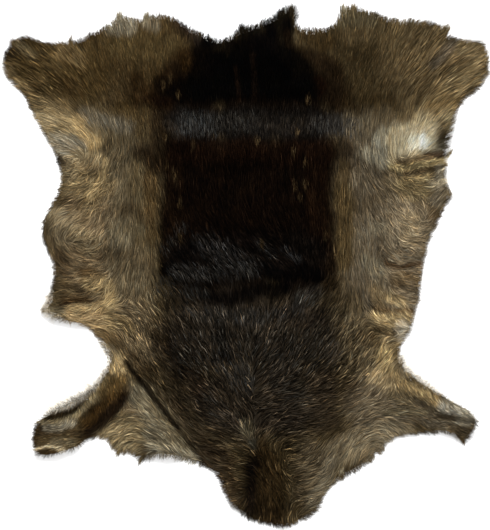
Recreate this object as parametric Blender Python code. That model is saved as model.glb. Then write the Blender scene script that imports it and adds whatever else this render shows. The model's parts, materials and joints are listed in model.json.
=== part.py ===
"""A deerskin: one dressed hide with its hair on, laid out flat on the ground, hair side up.

Metres, +Z up. The rump lies towards +Y and the neck towards -Y. The origin is under the middle of the
hide, on the ground. The hide is one piece, so it is one solid: a lumpy sheet as thick as the skin and
the hair on it, lifted off the ground by its soft folds, with pointed locks of hair all round its rim.
"""

import math
import random
from collections import namedtuple

import bmesh
import bpy
import numpy as np
from mathutils import Vector, noise
from mathutils.geometry import delaunay_2d_cdt, interpolate_bezier

MM = 0.001

# Driving dimensions
SKIN_THICKNESS = 0.0015
HAIR_DEPTH_ON_BACK = 0.0085
HAIR_DEPTH_ON_LEGS = 0.0040
BACK_REACH = 0.30
LEGS_START = 0.47
LUMP_HEIGHT = 0.0022
LUMP_SIZE = 0.045
EDGE_THINNING = 0.45
EDGE_BAND = 0.030
LEAST_DEPTH = 0.0035
FOLD_END_STRETCH = 1.8
FOLD_MERGING = 3
PARTING_IN_THE_HAIR = 1 / 3
WANDER = 0.016
WANDER_SIZE = 0.13
FOLD_UNEVENNESS = 0.75
FOLD_UNEVENNESS_SIZE = 0.085
MESH_PITCH = 0.0198
MESH_EDGE_CLEARANCE = 0.62
SAME_POINT = 0.000001
LOCK_SPACING = 0.0168
LOCK_SPACING_UNEVENNESS = 0.24
CURVE_STEPS = 10
SHARP_ANGLE = math.radians(50)
SEED = 5

# A lock of hair at the rim, as shares of how far it reaches
LOCK_INSET = 0.80
LOCK_BEND_AT = 0.55
LOCK_BEND_SIZE = 0.62
LOCK_LENGTHS = (0.65, 1.50)
LOCK_LONGEST_FOR_ITS_WIDTH = 1.35
LOCK_SWAY = 0.30
LOCK_DROOP = 0.55
TIP_CLEARANCE = 0.0012

COAT_COLOUR = (0.075, 0.052, 0.034, 1.0)
COAT_ROUGHNESS = 0.62

# The rim as seen from above, clockwise from the left hind leg, in millimetres. reach is how far the hair
# hangs past the skin, and sweep is how far its tips lean along the rim, as a share of that reach.
Stretch = namedtuple("Stretch", "name reach sweep points")
RIM = (
    Stretch("left hind leg", 10, -0.3, ((-486, 401), (-480, 434), (-438, 461), (-398, 445))),
    Stretch("left of the rump", 15, -0.1, (
        (-340, 453), (-286, 473), (-252, 500), (-208, 496),
        (-186, 506), (-144, 499), (-104, 465), (-52, 453),
    )),
    Stretch("root of the tail", 17, 0.0, (
        (-4, 473), (36, 485), (76, 513), (104, 514), (108, 478), (132, 467), (170, 478),
    )),
    Stretch("right of the rump", 15, 0.1, (
        (200, 520), (246, 515), (298, 487), (352, 489), (396, 484), (408, 462), (452, 449),
    )),
    Stretch("right hind leg", 11, 0.0, ((480, 444), (486, 391), (466, 351), (428, 315))),
    Stretch("right flank", 10, 0.35, (
        (412, 272), (402, 233), (403, 193), (414, 140), (396, 103),
        (366, 47), (356, -13), (348, -71), (328, -135), (306, -177),
    )),
    Stretch("right foreleg", 8, 0.3, (
        (340, -209), (392, -251), (446, -285), (466, -312), (448, -345),
        (430, -356), (412, -339), (364, -337), (306, -345),
    )),
    Stretch("right shoulder", 13, -0.2, ((272, -367), (238, -397), (196, -421))),
    Stretch("neck", 10, 0.0, (
        (166, -445), (138, -489), (86, -519), (24, -511), (-28, -471), (-58, -413),
    )),
    Stretch("left shoulder", 12, 0.1, (
        (-110, -391), (-166, -383), (-208, -391), (-232, -378), (-262, -374), (-280, -348),
    )),
    Stretch("left foreleg", 8, -0.2, (
        (-310, -347), (-358, -373), (-410, -380), (-428, -345),
        (-402, -297), (-348, -263), (-302, -235), (-272, -195),
    )),
    Stretch("left flank", 9, -0.35, (
        (-286, -160), (-316, -124), (-354, -117), (-406, -90), (-390, -60),
        (-385, -5), (-406, 60), (-396, 105), (-370, 165), (-382, 227),
    )),
    Stretch("behind the left thigh", 11, -0.1, ((-424, 297), (-450, 347))),
)

# Folds that lift the skin off the ground, in millimetres: the crest's path, its height, and how wide the
# slope is on the left and on the right of that path.
Fold = namedtuple("Fold", "name lift left right path")
FOLDS = (
    Fold("roll across the rump", 8, 95, 85, ((-200, 418), (0, 430), (190, 422))),
    Fold("left rump wave", 7, 60, 55, ((-190, 490), (-190, 440))),
    Fold("tail wave", 9, 30, 34, ((92, 505), (80, 440))),
    Fold("right rump wave", 9, 46, 52, ((212, 512), (214, 450))),
    Fold("left hind leg wave", 9, 46, 50, ((-472, 415), (-372, 384))),
    Fold("right hind leg wave", 9, 50, 46, ((372, 384), (472, 412))),
    Fold("roll across the loin", 14, 66, 62, ((-262, 254), (0, 243), (285, 258))),
    Fold("left groin", 20, 44, 42, ((-352, 262), (-302, 226))),
    Fold("right groin", 22, 58, 28, ((306, 263), (346, 267), (390, 277))),
    Fold("right groin, next", 12, 19, 21, ((322, 203), (350, 207), (394, 211))),
    Fold("right groin, last", 14, 26, 30, ((350, 163), (400, 154))),
    Fold("left curls", 8, 27, 27, ((-364, 141), (-318, 143))),
    Fold("left belly lobe", 20, 42, 38, ((-392, 76), (-350, 69), (-306, 57))),
    Fold("left flank", 11, 36, 28, ((-370, -25), (-316, -31))),
    Fold("left flank pocket", 16, 20, 32, ((-390, -92), (-340, -89), (-288, -81))),
    Fold("roll across the back", 10, 60, 52, ((-120, -14), (0, -30), (110, -20))),
    Fold("roll across the withers", 9, 56, 80, ((-130, -128), (0, -138), (160, -130))),
    Fold("left shoulder", 12, 58, 22, ((-192, -196), (-144, -252), (-90, -326))),
    Fold("left upper arm", 11, 24, 62, ((-222, -217), (-192, -297), (-146, -362))),
    Fold("left foreleg, upper edge", 23, 28, 16, ((-268, -202), (-292, -241), (-334, -270), (-392, -301))),
    Fold("left foreleg, lower edge", 12, 18, 18, ((-408, -362), (-370, -362), (-334, -350))),
    Fold("right foreleg", 18, 26, 36, ((272, -171), (302, -212), (370, -257), (440, -297))),
    Fold("right foreleg, lower", 9, 20, 20, ((310, -317), (390, -319), (446, -327))),
    Fold("right flank, first", 9, 32, 32, ((318, 31), (352, 37))),
    Fold("right flank, second", 9, 28, 26, ((312, -41), (342, -47))),
    Fold("right flank, third", 12, 22, 36, ((286, -109), (326, -103))),
    Fold("neck, left", 9, 30, 44, ((-32, -407), (-16, -470))),
    Fold("neck, right", 12, 44, 46, ((50, -377), (72, -470))),
)

# Creases that press the hide down again, and part the hair, in millimetres.
CREASES = (
    Fold("crease of the left shoulder", 10, 18, 18, (
        (-248, -175), (-198, -231), (-158, -297), (-110, -361), (-70, -398),
    )),
    Fold("parting down the neck", 9, 20, 20, ((8, -357), (4, -427), (10, -500))),
)


def smooth(value, start, end):
    """0 before start, 1 after end, and a soft step between them."""
    share = min(1.0, max(0.0, (value - start) / (end - start)))
    return share * share * (3 - 2 * share)


def nearest_on_path(point, path):
    """The distance from a point to a path, and which side the point lies on, from -1, right, to 1, left.
    Past the path's ends the distance counts for less, so that a fold runs out softly there."""
    best, side = math.inf, 0.0
    for start, end in zip(path, path[1:]):
        ahead = (end - start).normalized()
        reached = (point - start).dot(ahead)
        past = reached - min((end - start).length, max(0.0, reached))
        sideways = ahead.cross(point - start)
        away = math.hypot(sideways, past / FOLD_END_STRETCH)
        if away < best:
            best, side = away, sideways / away if away else 0.0
    return best, side


def fold_height(fold, point):
    """How far a fold lifts the hide at a point: a soft crest that ends where its slope does."""
    path = [Vector(place) * MM for place in fold.path]
    away, side = nearest_on_path(point, path)
    width = MM * ((fold.left + fold.right) + side * (fold.left - fold.right)) / 2
    if away >= width:
        return 0.0
    return fold.lift * MM * math.cos(math.pi / 2 * away / width) ** 2


def ground_gap(x, y):
    """The height of the skin's underside. It is 0, on the ground, wherever no fold lifts it."""
    place = Vector((x, y, 0))
    point = place.xy + WANDER * noise.noise_vector(place / WANDER_SIZE).xy
    lifted = sum(fold_height(fold, point) ** FOLD_MERGING for fold in FOLDS) ** (1 / FOLD_MERGING)
    lifted *= 1 + FOLD_UNEVENNESS * noise.noise(place / FOLD_UNEVENNESS_SIZE)
    pressed = sum(fold_height(crease, point) for crease in CREASES)
    return max(0.0, lifted - pressed)


def coat_depth(x, y, edge):
    """The thickness of the hair at a point, which lies the distance edge inside the rim."""
    towards_legs = smooth(math.hypot(x, y), BACK_REACH, LEGS_START)
    depth = HAIR_DEPTH_ON_BACK + (HAIR_DEPTH_ON_LEGS - HAIR_DEPTH_ON_BACK) * towards_legs
    depth *= 1 - EDGE_THINNING * (1 - smooth(edge, 0, EDGE_BAND))
    depth += LUMP_HEIGHT * noise.noise(Vector((x, y, 0)) / LUMP_SIZE)
    parted = sum(fold_height(crease, Vector((x, y))) for crease in CREASES)
    return max(LEAST_DEPTH, depth - PARTING_IN_THE_HAIR * parted)


def rim_curve():
    """A smooth closed curve through the rim's points, with the reach and sweep of the hair along it."""
    rows = [(Vector(place) * MM, row.reach * MM, row.sweep) for row in RIM for place in row.points]
    curve = []
    for index, (here, reach, sweep) in enumerate(rows):
        before, (after, reach_after, sweep_after) = rows[index - 1][0], rows[(index + 1) % len(rows)]
        beyond = rows[(index + 2) % len(rows)][0]
        third = (after - here).length / 3
        leaving = here + (after - before).normalized() * third
        arriving = after - (beyond - here).normalized() * third
        bend = interpolate_bezier(here, leaving, arriving, after, CURVE_STEPS + 1)[:-1]
        for step, place in enumerate(bend):
            share = step / CURVE_STEPS
            blended = reach + share * (reach_after - reach), sweep + share * (sweep_after - sweep)
            curve.append((place.x, place.y, *blended))
    return np.array(curve)


def lock_places(curve, draw):
    """The closed curve again, with one point for each lock of hair along it."""
    closed = np.vstack([curve, curve[:1]])
    along = np.concatenate([[0], np.cumsum(np.linalg.norm(np.diff(closed[:, :2], axis=0), axis=1))])
    count = round(along[-1] / LOCK_SPACING)
    shift = [draw.uniform(-1, 1) * LOCK_SPACING_UNEVENNESS for _ in range(count - 1)]
    places = (np.arange(count) + [0, *shift]) * along[-1] / count
    return np.stack([np.interp(places, along, column) for column in closed.T], axis=1)


def outward(loop):
    """The outward direction and the direction along the rim at each point of a clockwise loop."""
    along = np.roll(loop, -1, axis=0) - np.roll(loop, 1, axis=0)
    along += np.roll(along, 1, axis=0) + np.roll(along, -1, axis=0)
    along /= np.linalg.norm(along, axis=1)[:, None]
    return np.stack([-along[:, 1], along[:, 0]], axis=1), along


def distance_inside(points, loop):
    """How far each point lies inside the closed loop. It is negative outside."""
    after = np.roll(loop, -1, axis=0)
    span = after - loop
    nearest = np.full(len(points), np.inf)
    crossings = np.zeros(len(points), int)
    for start, end, side in zip(loop, after, span):
        share = np.clip((points - start) @ side / (side @ side), 0, 1)
        nearest = np.minimum(nearest, np.linalg.norm(points - start - share[:, None] * side, axis=1))
        spans = (start[1] > points[:, 1]) != (end[1] > points[:, 1])
        with np.errstate(divide="ignore", invalid="ignore"):
            cut = start[0] + (points[:, 1] - start[1]) * side[0] / side[1]
        crossings += spans & (points[:, 0] < cut)
    return np.where(crossings % 2 == 1, nearest, -nearest)


def inner_points(loop):
    """Points of an even triangular grid inside the loop, a little away from it."""
    low, high = loop.min(0), loop.max(0)
    row_height = MESH_PITCH * math.sqrt(3) / 2
    rows = []
    for number, y in enumerate(np.arange(low[1], high[1], row_height)):
        x = np.arange(low[0] + (number % 2) * MESH_PITCH / 2, high[0], MESH_PITCH)
        rows.append(np.stack([x, np.full(len(x), y)], axis=1))
    grid = np.vstack(rows)
    return grid[distance_inside(grid, loop) > MESH_EDGE_CLEARANCE * MESH_PITCH]


def flat_hide(loop):
    """The hide's flat outline as a triangle mesh, and the rim number of each of its rim's points."""
    places = [Vector(point) for point in np.vstack([loop, inner_points(loop)])]
    cut = delaunay_2d_cdt(places, [], [list(range(len(loop)))], 1, SAME_POINT)
    bm = bmesh.new()
    number = bm.verts.layers.int.new("rim")
    points = []
    for place, sources in zip(cut[0], cut[3]):
        vert = bm.verts.new((place.x, place.y, 0))
        vert[number] = min(sources) if sources and min(sources) < len(loop) else -1
        points.append(vert)
    for triangle in cut[2]:
        bm.faces.new([points[corner] for corner in triangle])
    bmesh.ops.recalc_face_normals(bm, faces=bm.faces)
    if sum(face.normal.z for face in bm.faces) > 0:
        bmesh.ops.reverse_faces(bm, faces=bm.faces)
    return bm, number


def raise_sheet(bm, loop):
    """Gives the flat outline its thickness and its folds. Returns the walls round its rim."""
    under = list(bm.verts)
    raised = bmesh.ops.extrude_face_region(bm, geom=list(bm.faces), use_keep_orig=True)
    over = [item for item in raised["geom"] if isinstance(item, bmesh.types.BMVert)]
    walls = [face for face in bm.faces if len(face.verts) == 4]
    for vert in over:
        edge = float(distance_inside(np.array([vert.co.xy]), loop)[0])
        x, y = vert.co.xy
        vert.co.z = ground_gap(x, y) + SKIN_THICKNESS + coat_depth(x, y, max(0.0, edge))
    for vert in under:
        vert.co.z = ground_gap(*vert.co.xy)
    return walls


def starts_at(wall, number, count):
    """The number, along the rim, of the point at which a wall starts."""
    ends = sorted({vert[number] for vert in wall.verts})
    return ends[-1] if ends == [0, count - 1] else ends[0]


def grow_lock(bm, wall, out, along, reach, sweep, draw):
    """Draws one wall of the rim out into a pointed four-sided lock of hair that droops to its tip."""
    root = wall.calc_center_median()
    width = max((a.co - b.co).length for a in wall.verts for b in wall.verts)
    length = min(reach * draw.uniform(*LOCK_LENGTHS), LOCK_LONGEST_FOR_ITS_WIDTH * width)
    lean = sweep + draw.uniform(-LOCK_SWAY, LOCK_SWAY)
    course = Vector((*(out + lean * along), 0)) * length
    low = min(vert.co.z for vert in wall.verts)
    (bend,) = bmesh.ops.extrude_discrete_faces(bm, faces=[wall])["faces"]
    for vert in bend.verts:
        vert.co = root + LOCK_BEND_SIZE * (vert.co - root) + LOCK_BEND_AT * course
    tip = bmesh.ops.poke(bm, faces=[bend])["verts"][0]
    height = max(low + TIP_CLEARANCE, root.z - LOCK_DROOP * (root.z - low))
    tip.co = Vector((root.x + course.x, root.y + course.y, height))


def hide_mesh():
    """The whole hide as one closed mesh, centred over the origin."""
    noise.seed_set(SEED)
    draw = random.Random(SEED)
    rim = lock_places(rim_curve(), draw)
    out, along = outward(rim[:, :2])
    loop = rim[:, :2] - LOCK_INSET * rim[:, 2:3] * out
    bm, number = flat_hide(loop)
    walls = {starts_at(wall, number, len(loop)): wall for wall in raise_sheet(bm, loop)}
    for index, (_, _, reach, sweep) in enumerate(rim):
        facing = (out[index] + out[(index + 1) % len(rim)]) / 2
        grow_lock(bm, walls[index], facing, along[index], reach, sweep, draw)
    bmesh.ops.triangulate(bm, faces=bm.faces)
    bmesh.ops.recalc_face_normals(bm, faces=bm.faces)
    low = [min(vert.co[axis] for vert in bm.verts) for axis in range(2)]
    high = [max(vert.co[axis] for vert in bm.verts) for axis in range(2)]
    middle = Vector(((low[0] + high[0]) / 2, (low[1] + high[1]) / 2, 0))
    bmesh.ops.translate(bm, verts=bm.verts, vec=-middle)
    mesh = bpy.data.meshes.new("deerskin")
    bm.to_mesh(mesh)
    bm.free()
    return mesh


def coat_material():
    """Brown hair, with a soft sheen."""
    material = bpy.data.materials.new("deer_hair")
    material.use_nodes = True
    surface = material.node_tree.nodes["Principled BSDF"]
    surface.inputs["Base Color"].default_value = COAT_COLOUR
    surface.inputs["Roughness"].default_value = COAT_ROUGHNESS
    surface.inputs["Metallic"].default_value = 0.0
    return material


def main():
    for thing in list(bpy.data.objects):
        bpy.data.objects.remove(thing)
    mesh = hide_mesh()
    mesh.materials.append(coat_material())
    mesh.shade_smooth()
    mesh.set_sharp_from_angle(angle=SHARP_ANGLE)
    hide = bpy.data.objects.new("deerskin", mesh)
    bpy.context.scene.collection.objects.link(hide)


main()
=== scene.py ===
"""The looks of the deerskin: the skin itself, its woolly undercoat, the hair, and the studio around them.

Metres, +Z up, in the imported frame: the rump lies towards +Y and the neck towards -Y. Tables that describe
the hide from above are in millimetres.
"""

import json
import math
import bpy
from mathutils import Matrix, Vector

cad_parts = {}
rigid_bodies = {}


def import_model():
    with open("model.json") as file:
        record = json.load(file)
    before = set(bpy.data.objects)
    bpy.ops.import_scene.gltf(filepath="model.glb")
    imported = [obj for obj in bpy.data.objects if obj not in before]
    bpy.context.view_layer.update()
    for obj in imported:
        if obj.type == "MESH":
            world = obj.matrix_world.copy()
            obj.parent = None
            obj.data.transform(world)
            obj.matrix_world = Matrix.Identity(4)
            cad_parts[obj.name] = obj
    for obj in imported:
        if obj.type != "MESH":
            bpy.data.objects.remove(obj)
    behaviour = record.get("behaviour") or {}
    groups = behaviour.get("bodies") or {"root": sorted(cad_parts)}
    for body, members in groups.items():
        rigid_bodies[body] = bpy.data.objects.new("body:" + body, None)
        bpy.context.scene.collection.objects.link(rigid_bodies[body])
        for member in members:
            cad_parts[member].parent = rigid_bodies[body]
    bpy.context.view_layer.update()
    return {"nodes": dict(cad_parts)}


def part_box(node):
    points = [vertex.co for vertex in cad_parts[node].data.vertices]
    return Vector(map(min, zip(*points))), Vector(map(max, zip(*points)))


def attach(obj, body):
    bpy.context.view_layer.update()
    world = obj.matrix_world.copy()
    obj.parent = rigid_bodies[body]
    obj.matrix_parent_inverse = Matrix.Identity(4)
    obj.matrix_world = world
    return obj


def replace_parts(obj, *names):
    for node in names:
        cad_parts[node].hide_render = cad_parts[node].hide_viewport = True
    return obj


bl_info = {
    "name": "Deerskin",
    "version": (1, 0, 0),
    "blender": (4, 5, 0),
    "location": "3D View > Sidebar > Deerskin",
    "description": "Lays a dressed deerskin with its hair over the packed frame, and sets up its studio",
    "category": "Object",
}

from collections import namedtuple

import bpy
import numpy as np
from bpy.props import FloatProperty, FloatVectorProperty, PointerProperty
from mathutils import Vector
from mathutils.bvhtree import BVHTree
from mathutils.geometry import delaunay_2d_cdt, interpolate_bezier

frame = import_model()

HIDE = "deerskin"
MM = 0.001

# The frame's origin, as a place in the tables
TABLE_ORIGIN = (0.2263, 1.6485)

# The photograph's frame: its size in pixels, how many millimetres of the ground one of them shows, and the
# place of its top left corner in the tables
IMAGE_WIDTH, IMAGE_HEIGHT = 490, 530
PIXEL = 2.0
IMAGE_CORNER = (-491, 531)

# What each kind of chance starts from
SEED = 11
SWELL_SEED, PUCKER_SEED, WANDER_SEED = SEED, SEED + 2, SEED + 4
HAZE_SEED, STREAK_SEED, WOOL_SEED = SEED + 8, SEED + 10, SEED + 20
RIM_SEED, FRINGE_SEED = SEED + 30, SEED + 40

# The edge: how finely the rim is followed, how far apart the points of the skin's edge are, and the share
# of the hair's reach by which the skin stops short of the rim
CURVE_STEPS = 10
RIM_SPACING = 0.0168
EDGE_SPACING = 0.005
SKIN_INSET = 0.80

# The chart of the hide, the finer one that carries its paint, and how far both reach past the hide
CHART_PITCH = 0.004
PAINT_PITCH = 0.002
CHART_MARGIN = 0.050

# The skin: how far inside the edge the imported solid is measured, how far its folds and its thickness are
# evened out, the least gap under the skin, its thickness, how much thinner its mesh is, and how far its
# inner points keep from its edge, as a share of the mesh's pitch
SURE_INSIDE = 0.006
FOLD_SOFTENING, DEPTH_SOFTENING = 0.006, 0.012
LEAST_GAP = 0.0003
SKIN_THICKNESS = 0.0015
SKIN_PLAY = 0.0001
INNER_POINTS_CLEARANCE = 0.6

# The least depth of the coat, and the usual length and curl of its hair
LEAST_DEPTH = 0.0030
HAIR_LENGTH = 0.033
USUAL_CURL = 0.07

# Soft swells all over the skin, and how far the puckers stray from their paths
SWELL_HEIGHT, SWELL_SIZE, FINER_SWELL = 0.0018, 0.050, 0.6
PUCKER_WANDER, PUCKER_WANDER_SIZE = 0.006, 0.04

# How near a stroke of the comb has to be to count in full, and how fast it counts less further away
COMBING_FOCUS = 0.012
COMBING_FALL = 3.0

# How far from its path a patch still covers in full and where it ends, as shares of its radius
PAINT_FULL, PAINT_GONE = 0.5, 1.35
ZONE_FULL, ZONE_GONE = 0.5, 1.3
SHEEN_FULL, SHEEN_GONE = 0.4, 1.6

# The paint's uneven edges: how far they wander, also as a share of a dab's radius, and in what patches
PAINT_WANDER, PAINT_WANDER_SHARE, PAINT_WANDER_SIZE, FINER_WANDER = 0.006, 0.3, 0.032, 0.4

# Broad haze over the paint, and streaks that are drawn out along the hair
HAZE, HAZE_SIZE, FINER_HAZE = 0.06, 0.045, 0.6
STREAKS, STREAK_SIZE, STREAK_STEP, STREAK_PASSES = 0.10, 0.010, 0.008, 3

# The undercoat: its gap over the skin, its own thickness, how finely its edge is followed, its lumps, the
# height of its thinned edge and that edge's width, and how much darker than the hair it is, as painted
# shade between the hairs, with its unevenness
SKIN_TO_HAIR = 0.0004
WOOL_THICKNESS = 0.0003
WOOL_EDGE_SPACING = 1.4 * EDGE_SPACING
WOOL_LUMPS, WOOL_LUMP_SIZE = 0.35, 0.012
WOOL_EDGE_HEIGHT, WOOL_EDGE_WIDTH = 0.25, 0.012
WOOL_PAINTED_SHADE, WOOL_MOTTLE, WOOL_MOTTLE_SIZE = 0.5, 0.25, 0.007

# How hairs of one lock differ: how far they turn and bend, where they are straight and what full curl
# adds, which part of the way they bend about, and how much their lengths and their shades vary
STRAIGHT_TURN, CURLED_TURN = math.radians(3.5), math.radians(12)
STRAIGHT_BEND, CURLED_BEND = math.radians(6), math.radians(80)
BEND_MIDDLE = 0.3
LENGTH_SPREAD = 0.18
SHADE_EVEN, SHADE_BRIGHT, BRIGHT_MEAN, BRIGHT_RANGE = 0.6, 0.4, 0.55, (-2, 3)

# How finer locks are gathered into coarser ones: the spread of the pull, what curl adds to it, its most,
# and how late along the hair it sets in
PULL_SPREAD = (0.6, 1.2)
CURL_PULL = 0.25
MOST_PULL = 0.95
PULL_ONSET = 1.4

# How strands differ from their lock, how hairs differ from their strand, and how much less strands gather
STRAND_SHARE, HAIR_SHARE = 0.6, 0.45
STRAND_GATHER = 0.5

# The coat's layers: the spread of each hair's place from the lowest, 0, to the outermost, 1, the part of it
# that a strand's hairs share, and the middle layer
LAYER_SPREAD = (2.2, 1.3)
STRAND_LAYER = 0.35
MIDDLE_LAYER = 0.65

# How far the hairs at the rim may reach, as shares of their reach, and the least part of a hair that is
# kept; how deep inside the edge the outermost roots are; and how far a strand's and a hair's paint drifts
REACH_SPREAD = (0.8, 1.45)
LEAST_KEPT = 0.25
ROOT_INSIDE = 0.0004
STRAND_DRIFT, HAIR_DRIFT = 0.0012, 0.0005

# Which part of a hair's chance to catch the light is its own, its strand's and its lock's, how much less
# it has outside a sheen, and how soft the limit is between hairs that do and do not
OWN_LUCK, STRAND_LUCK, LOCK_LUCK = 0.50, 0.36, 0.14
LUCK_OUTSIDE = 0.7
SHEEN_ABOVE, SHEEN_BELOW = 0.25, 0.15

# How much of a hair's colour is that of its middle all along
PAINT_HOLD = 0.25

# Hairs past the edge droop to the floor: their clearance there, the part of it that their layer adds, and
# how steeply and how much more steeply they fall
FLOOR_CLEARANCE, LAYER_CLEARANCE = 0.0006, 0.003
DROOP, DROOP_GROWTH = 0.55, 9

# How a hair's tint, from greyish to warm, acts on red, green and blue, and the limits of its colour
TINT = (1.0, 0.15, -0.9)
COLOUR_RANGE = (0.0004, 0.9)

# The rim's hairs: how many spring from each place on the edge, and how far and how deep their roots
# are strewn
RIM_GROUP = 4
RIM_STRAY, RIM_ROOTS = 0.0012, 0.008

# How far they keep to the lie of the coat where that runs along the edge, how far they point outwards where
# they don't, how far they turn in tufts and singly, the size of those tufts, and how they bend
RIM_OWN_LIE, RIM_OUTWARD = 0.35, 1.1
RIM_TUFT_TURN, RIM_TURN, RIM_BEND = math.radians(16), math.radians(14), math.radians(20)
RIM_TUFT_SIZE = 0.010

# How far past the rim of the table they reach, as a share of the reach, in coarse and finer waves along it,
# the spread of their lengths, the least one, and the least slant at which they get longer
RIM_BEYOND, RIM_WAVE, RIM_WAVE_SIZE = 0.36, 0.30, 0.012
FINER_RIM_WAVE, FINER_RIM_WAVE_SIZE = 0.4, 0.005
RIM_LENGTHS, RIM_LEAST, RIM_FLATTEST = (0.35, 1.2), 0.003, 0.45

# Their layers, their shade and their width beside the coat's, and how far inside them their colour is read
RIM_LAYERS, RIM_SHADE, RIM_WIDTH = (0.1, 0.8), 0.8, 0.7
RIM_PAINT_INSIDE = 0.004

# The tufts' hairs: their roots, from behind the place in the table, their lengths, their layers, how much
# narrower the tuft is at its tip and how much shorter at its sides, how far the tuft and its hairs bow,
# their width beside the coat's, and how much of their colour is the tuft's own
TUFT_ROOTS, TUFT_LENGTHS, TUFT_LAYERS = (-0.4, 0.25), (0.25, 1.05), (0.2, 0.95)
TUFT_NARROWING, TUFT_SHORTENING = 0.30, 0.6
TUFT_BOW, TUFT_HAIR_BOW, TUFT_BOW_GROWTH = 0.10, 0.26, 1.5
TUFT_WIDTH, TUFT_COLOUR = 0.6, 0.4

# The fringes' hairs: how many there are to a millimetre, where their roots lie beside the edge, how far
# they stray and bend, their lengths with how much these vary in patches, their layers, the spread of their
# shades and their width beside the coat's
FRINGE_DENSITY = 6
FRINGE_ROOTS = (-0.008, 0.002)
FRINGE_TURN, FRINGE_BEND = math.radians(32), math.radians(55)
FRINGE_LENGTHS, FRINGE_PATCHES, FRINGE_PATCH_SIZE = (0.2, 1.2), 0.6, 0.011
FRINGE_LAYERS, FRINGE_CONTRAST, FRINGE_WIDTH = (0.1, 1.0), 0.15, 0.45

# A hair is a ribbon of seven points, two at each station and one at its tip: its triangles, the points'
# stations and their places on its own square of the baking map, and how far it is rolled about itself
RIBBON = np.array([(0, 1, 3), (0, 3, 2), (2, 3, 5), (2, 5, 4), (4, 5, 6)])
RIBBON_STATIONS = (0, 0, 1, 1, 2, 2, 3)
RIBBON_ON_MAP = np.array([(0.1, 0.06), (0.9, 0.06), (0.1, 0.35), (0.9, 0.35), (0.1, 0.68), (0.9, 0.68),
                          (0.5, 0.97)])
RIBBON_ROLL = math.radians(24)

# The suede's darkest shade beside its colour, and how much of the mottle stays that dark
SUEDE_DARK, SUEDE_DARK_UNTIL = 0.72, 0.32

# The small dim spot straight overhead, where the camera hangs: the sine of the height at which it begins,
# and its brightness
OVERHEAD_EDGE, OVERHEAD_LIGHT = 0.996, 0.25

# The rim as seen from above, clockwise from the left hind leg, in millimetres. reach is how far the hair
# hangs past the skin, and sweep is how far its tips lean along the rim, as a share of that reach.
Stretch = namedtuple("Stretch", "name reach sweep points")
RIM = (
    Stretch("left hind leg", 10, -0.3, ((-486, 401), (-480, 434), (-438, 461), (-398, 447))),
    Stretch("left of the rump", 15, -0.4, (
        (-340, 454), (-312, 467), (-286, 480), (-252, 500), (-208, 496),
        (-186, 503), (-144, 500), (-104, 475), (-78, 463), (-48, 455),
    )),
    Stretch("root of the tail", 17, 0.0, (
        (-4, 479), (36, 492), (76, 515), (104, 514), (108, 482), (134, 475), (168, 483), (184, 502),
    )),
    Stretch("right of the rump", 15, 0.1, (
        (202, 519), (246, 514), (298, 495), (352, 493), (394, 485), (408, 464), (450, 455),
    )),
    Stretch("right hind leg", 11, 0.0, ((480, 444), (486, 391), (466, 351), (428, 315))),
    Stretch("right flank", 10, 0.35, (
        (412, 272), (402, 233), (403, 193), (410, 139), (396, 104),
        (369, 48), (356, -13), (348, -71), (328, -135), (310, -173),
    )),
    Stretch("right foreleg", 8, 0.3, (
        (334, -211), (390, -251), (446, -285), (466, -312), (448, -345),
        (430, -356), (412, -339), (364, -337), (306, -345),
    )),
    Stretch("right shoulder", 13, -0.2, ((272, -369), (242, -403), (196, -428))),
    Stretch("neck", 10, 0.0, (
        (168, -447), (143, -492), (90, -523), (18, -514), (-34, -475), (-62, -415),
    )),
    Stretch("left shoulder", 12, 0.1, (
        (-108, -398), (-166, -385), (-208, -391), (-232, -378), (-262, -374), (-280, -348),
    )),
    Stretch("left foreleg", 8, -0.2, (
        (-308, -347), (-332, -366), (-360, -375), (-412, -383), (-430, -345),
        (-406, -297), (-350, -263), (-304, -234), (-277, -191),
    )),
    Stretch("left flank", 9, -0.35, (
        (-290, -158), (-318, -124), (-356, -116), (-406, -90), (-394, -60),
        (-386, -5), (-410, 62), (-400, 105), (-372, 165), (-386, 227),
    )),
    Stretch("behind the left thigh", 11, -0.1, ((-424, 297), (-450, 345), (-477, 371))),
)

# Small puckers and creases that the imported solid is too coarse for, in millimetres. A negative lift is a
# crease. width is how far each slope runs to either side of the path.
Pucker = namedtuple("Pucker", "name lift width path")
PUCKERS = (
    Pucker("right flank, upper crease", -4, 11, ((285, 7), (293, -9), (349, 7))),
    Pucker("right flank, lower crease", -4, 10, ((265, -87), (333, -91))),
    Pucker("right elbow crease", -4, 12, ((229, -139), (269, -149), (301, -163))),
    Pucker("right groin, inner crease", -4, 9, ((369, 191), (401, 201))),
    Pucker("right groin, ridge", 3, 8, ((319, 203), (357, 209), (409, 213))),
    Pucker("left groin, pucker", 2, 14, ((-347, 241), (-311, 227))),
    Pucker("left groin, hollow", -4, 14, ((-377, 221), (-367, 191))),
    Pucker("left belly crease", -5, 14, ((-377, 9), (-335, -15))),
    Pucker("left pocket", -5, 14, ((-377, -45), (-321, -51))),
    Pucker("crease of the shoulder", -6, 9, (
        (-245, -183), (-207, -237), (-167, -293), (-121, -345), (-85, -393),
    )),
    Pucker("left foreleg channel", -6, 15, ((-241, -259), (-301, -329), (-331, -349))),
    Pucker("right foreleg channel", -5, 12, ((321, -277), (389, -301), (453, -315))),
    Pucker("neck furrow", -4, 10, ((3, -379), (9, -509))),
    Pucker("neck, side fold", 3, 16, ((101, -369), (121, -459))),
    Pucker("ripple on the rump", 3, 16, ((-231, 341), (-181, 321), (-131, 331))),
    Pucker("ripple on the loin", 2, 18, ((-91, 351), (9, 341), (109, 355))),
    Pucker("ripple on the right thigh", 3, 18, ((289, 371), (349, 351), (399, 361))),
)

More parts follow.
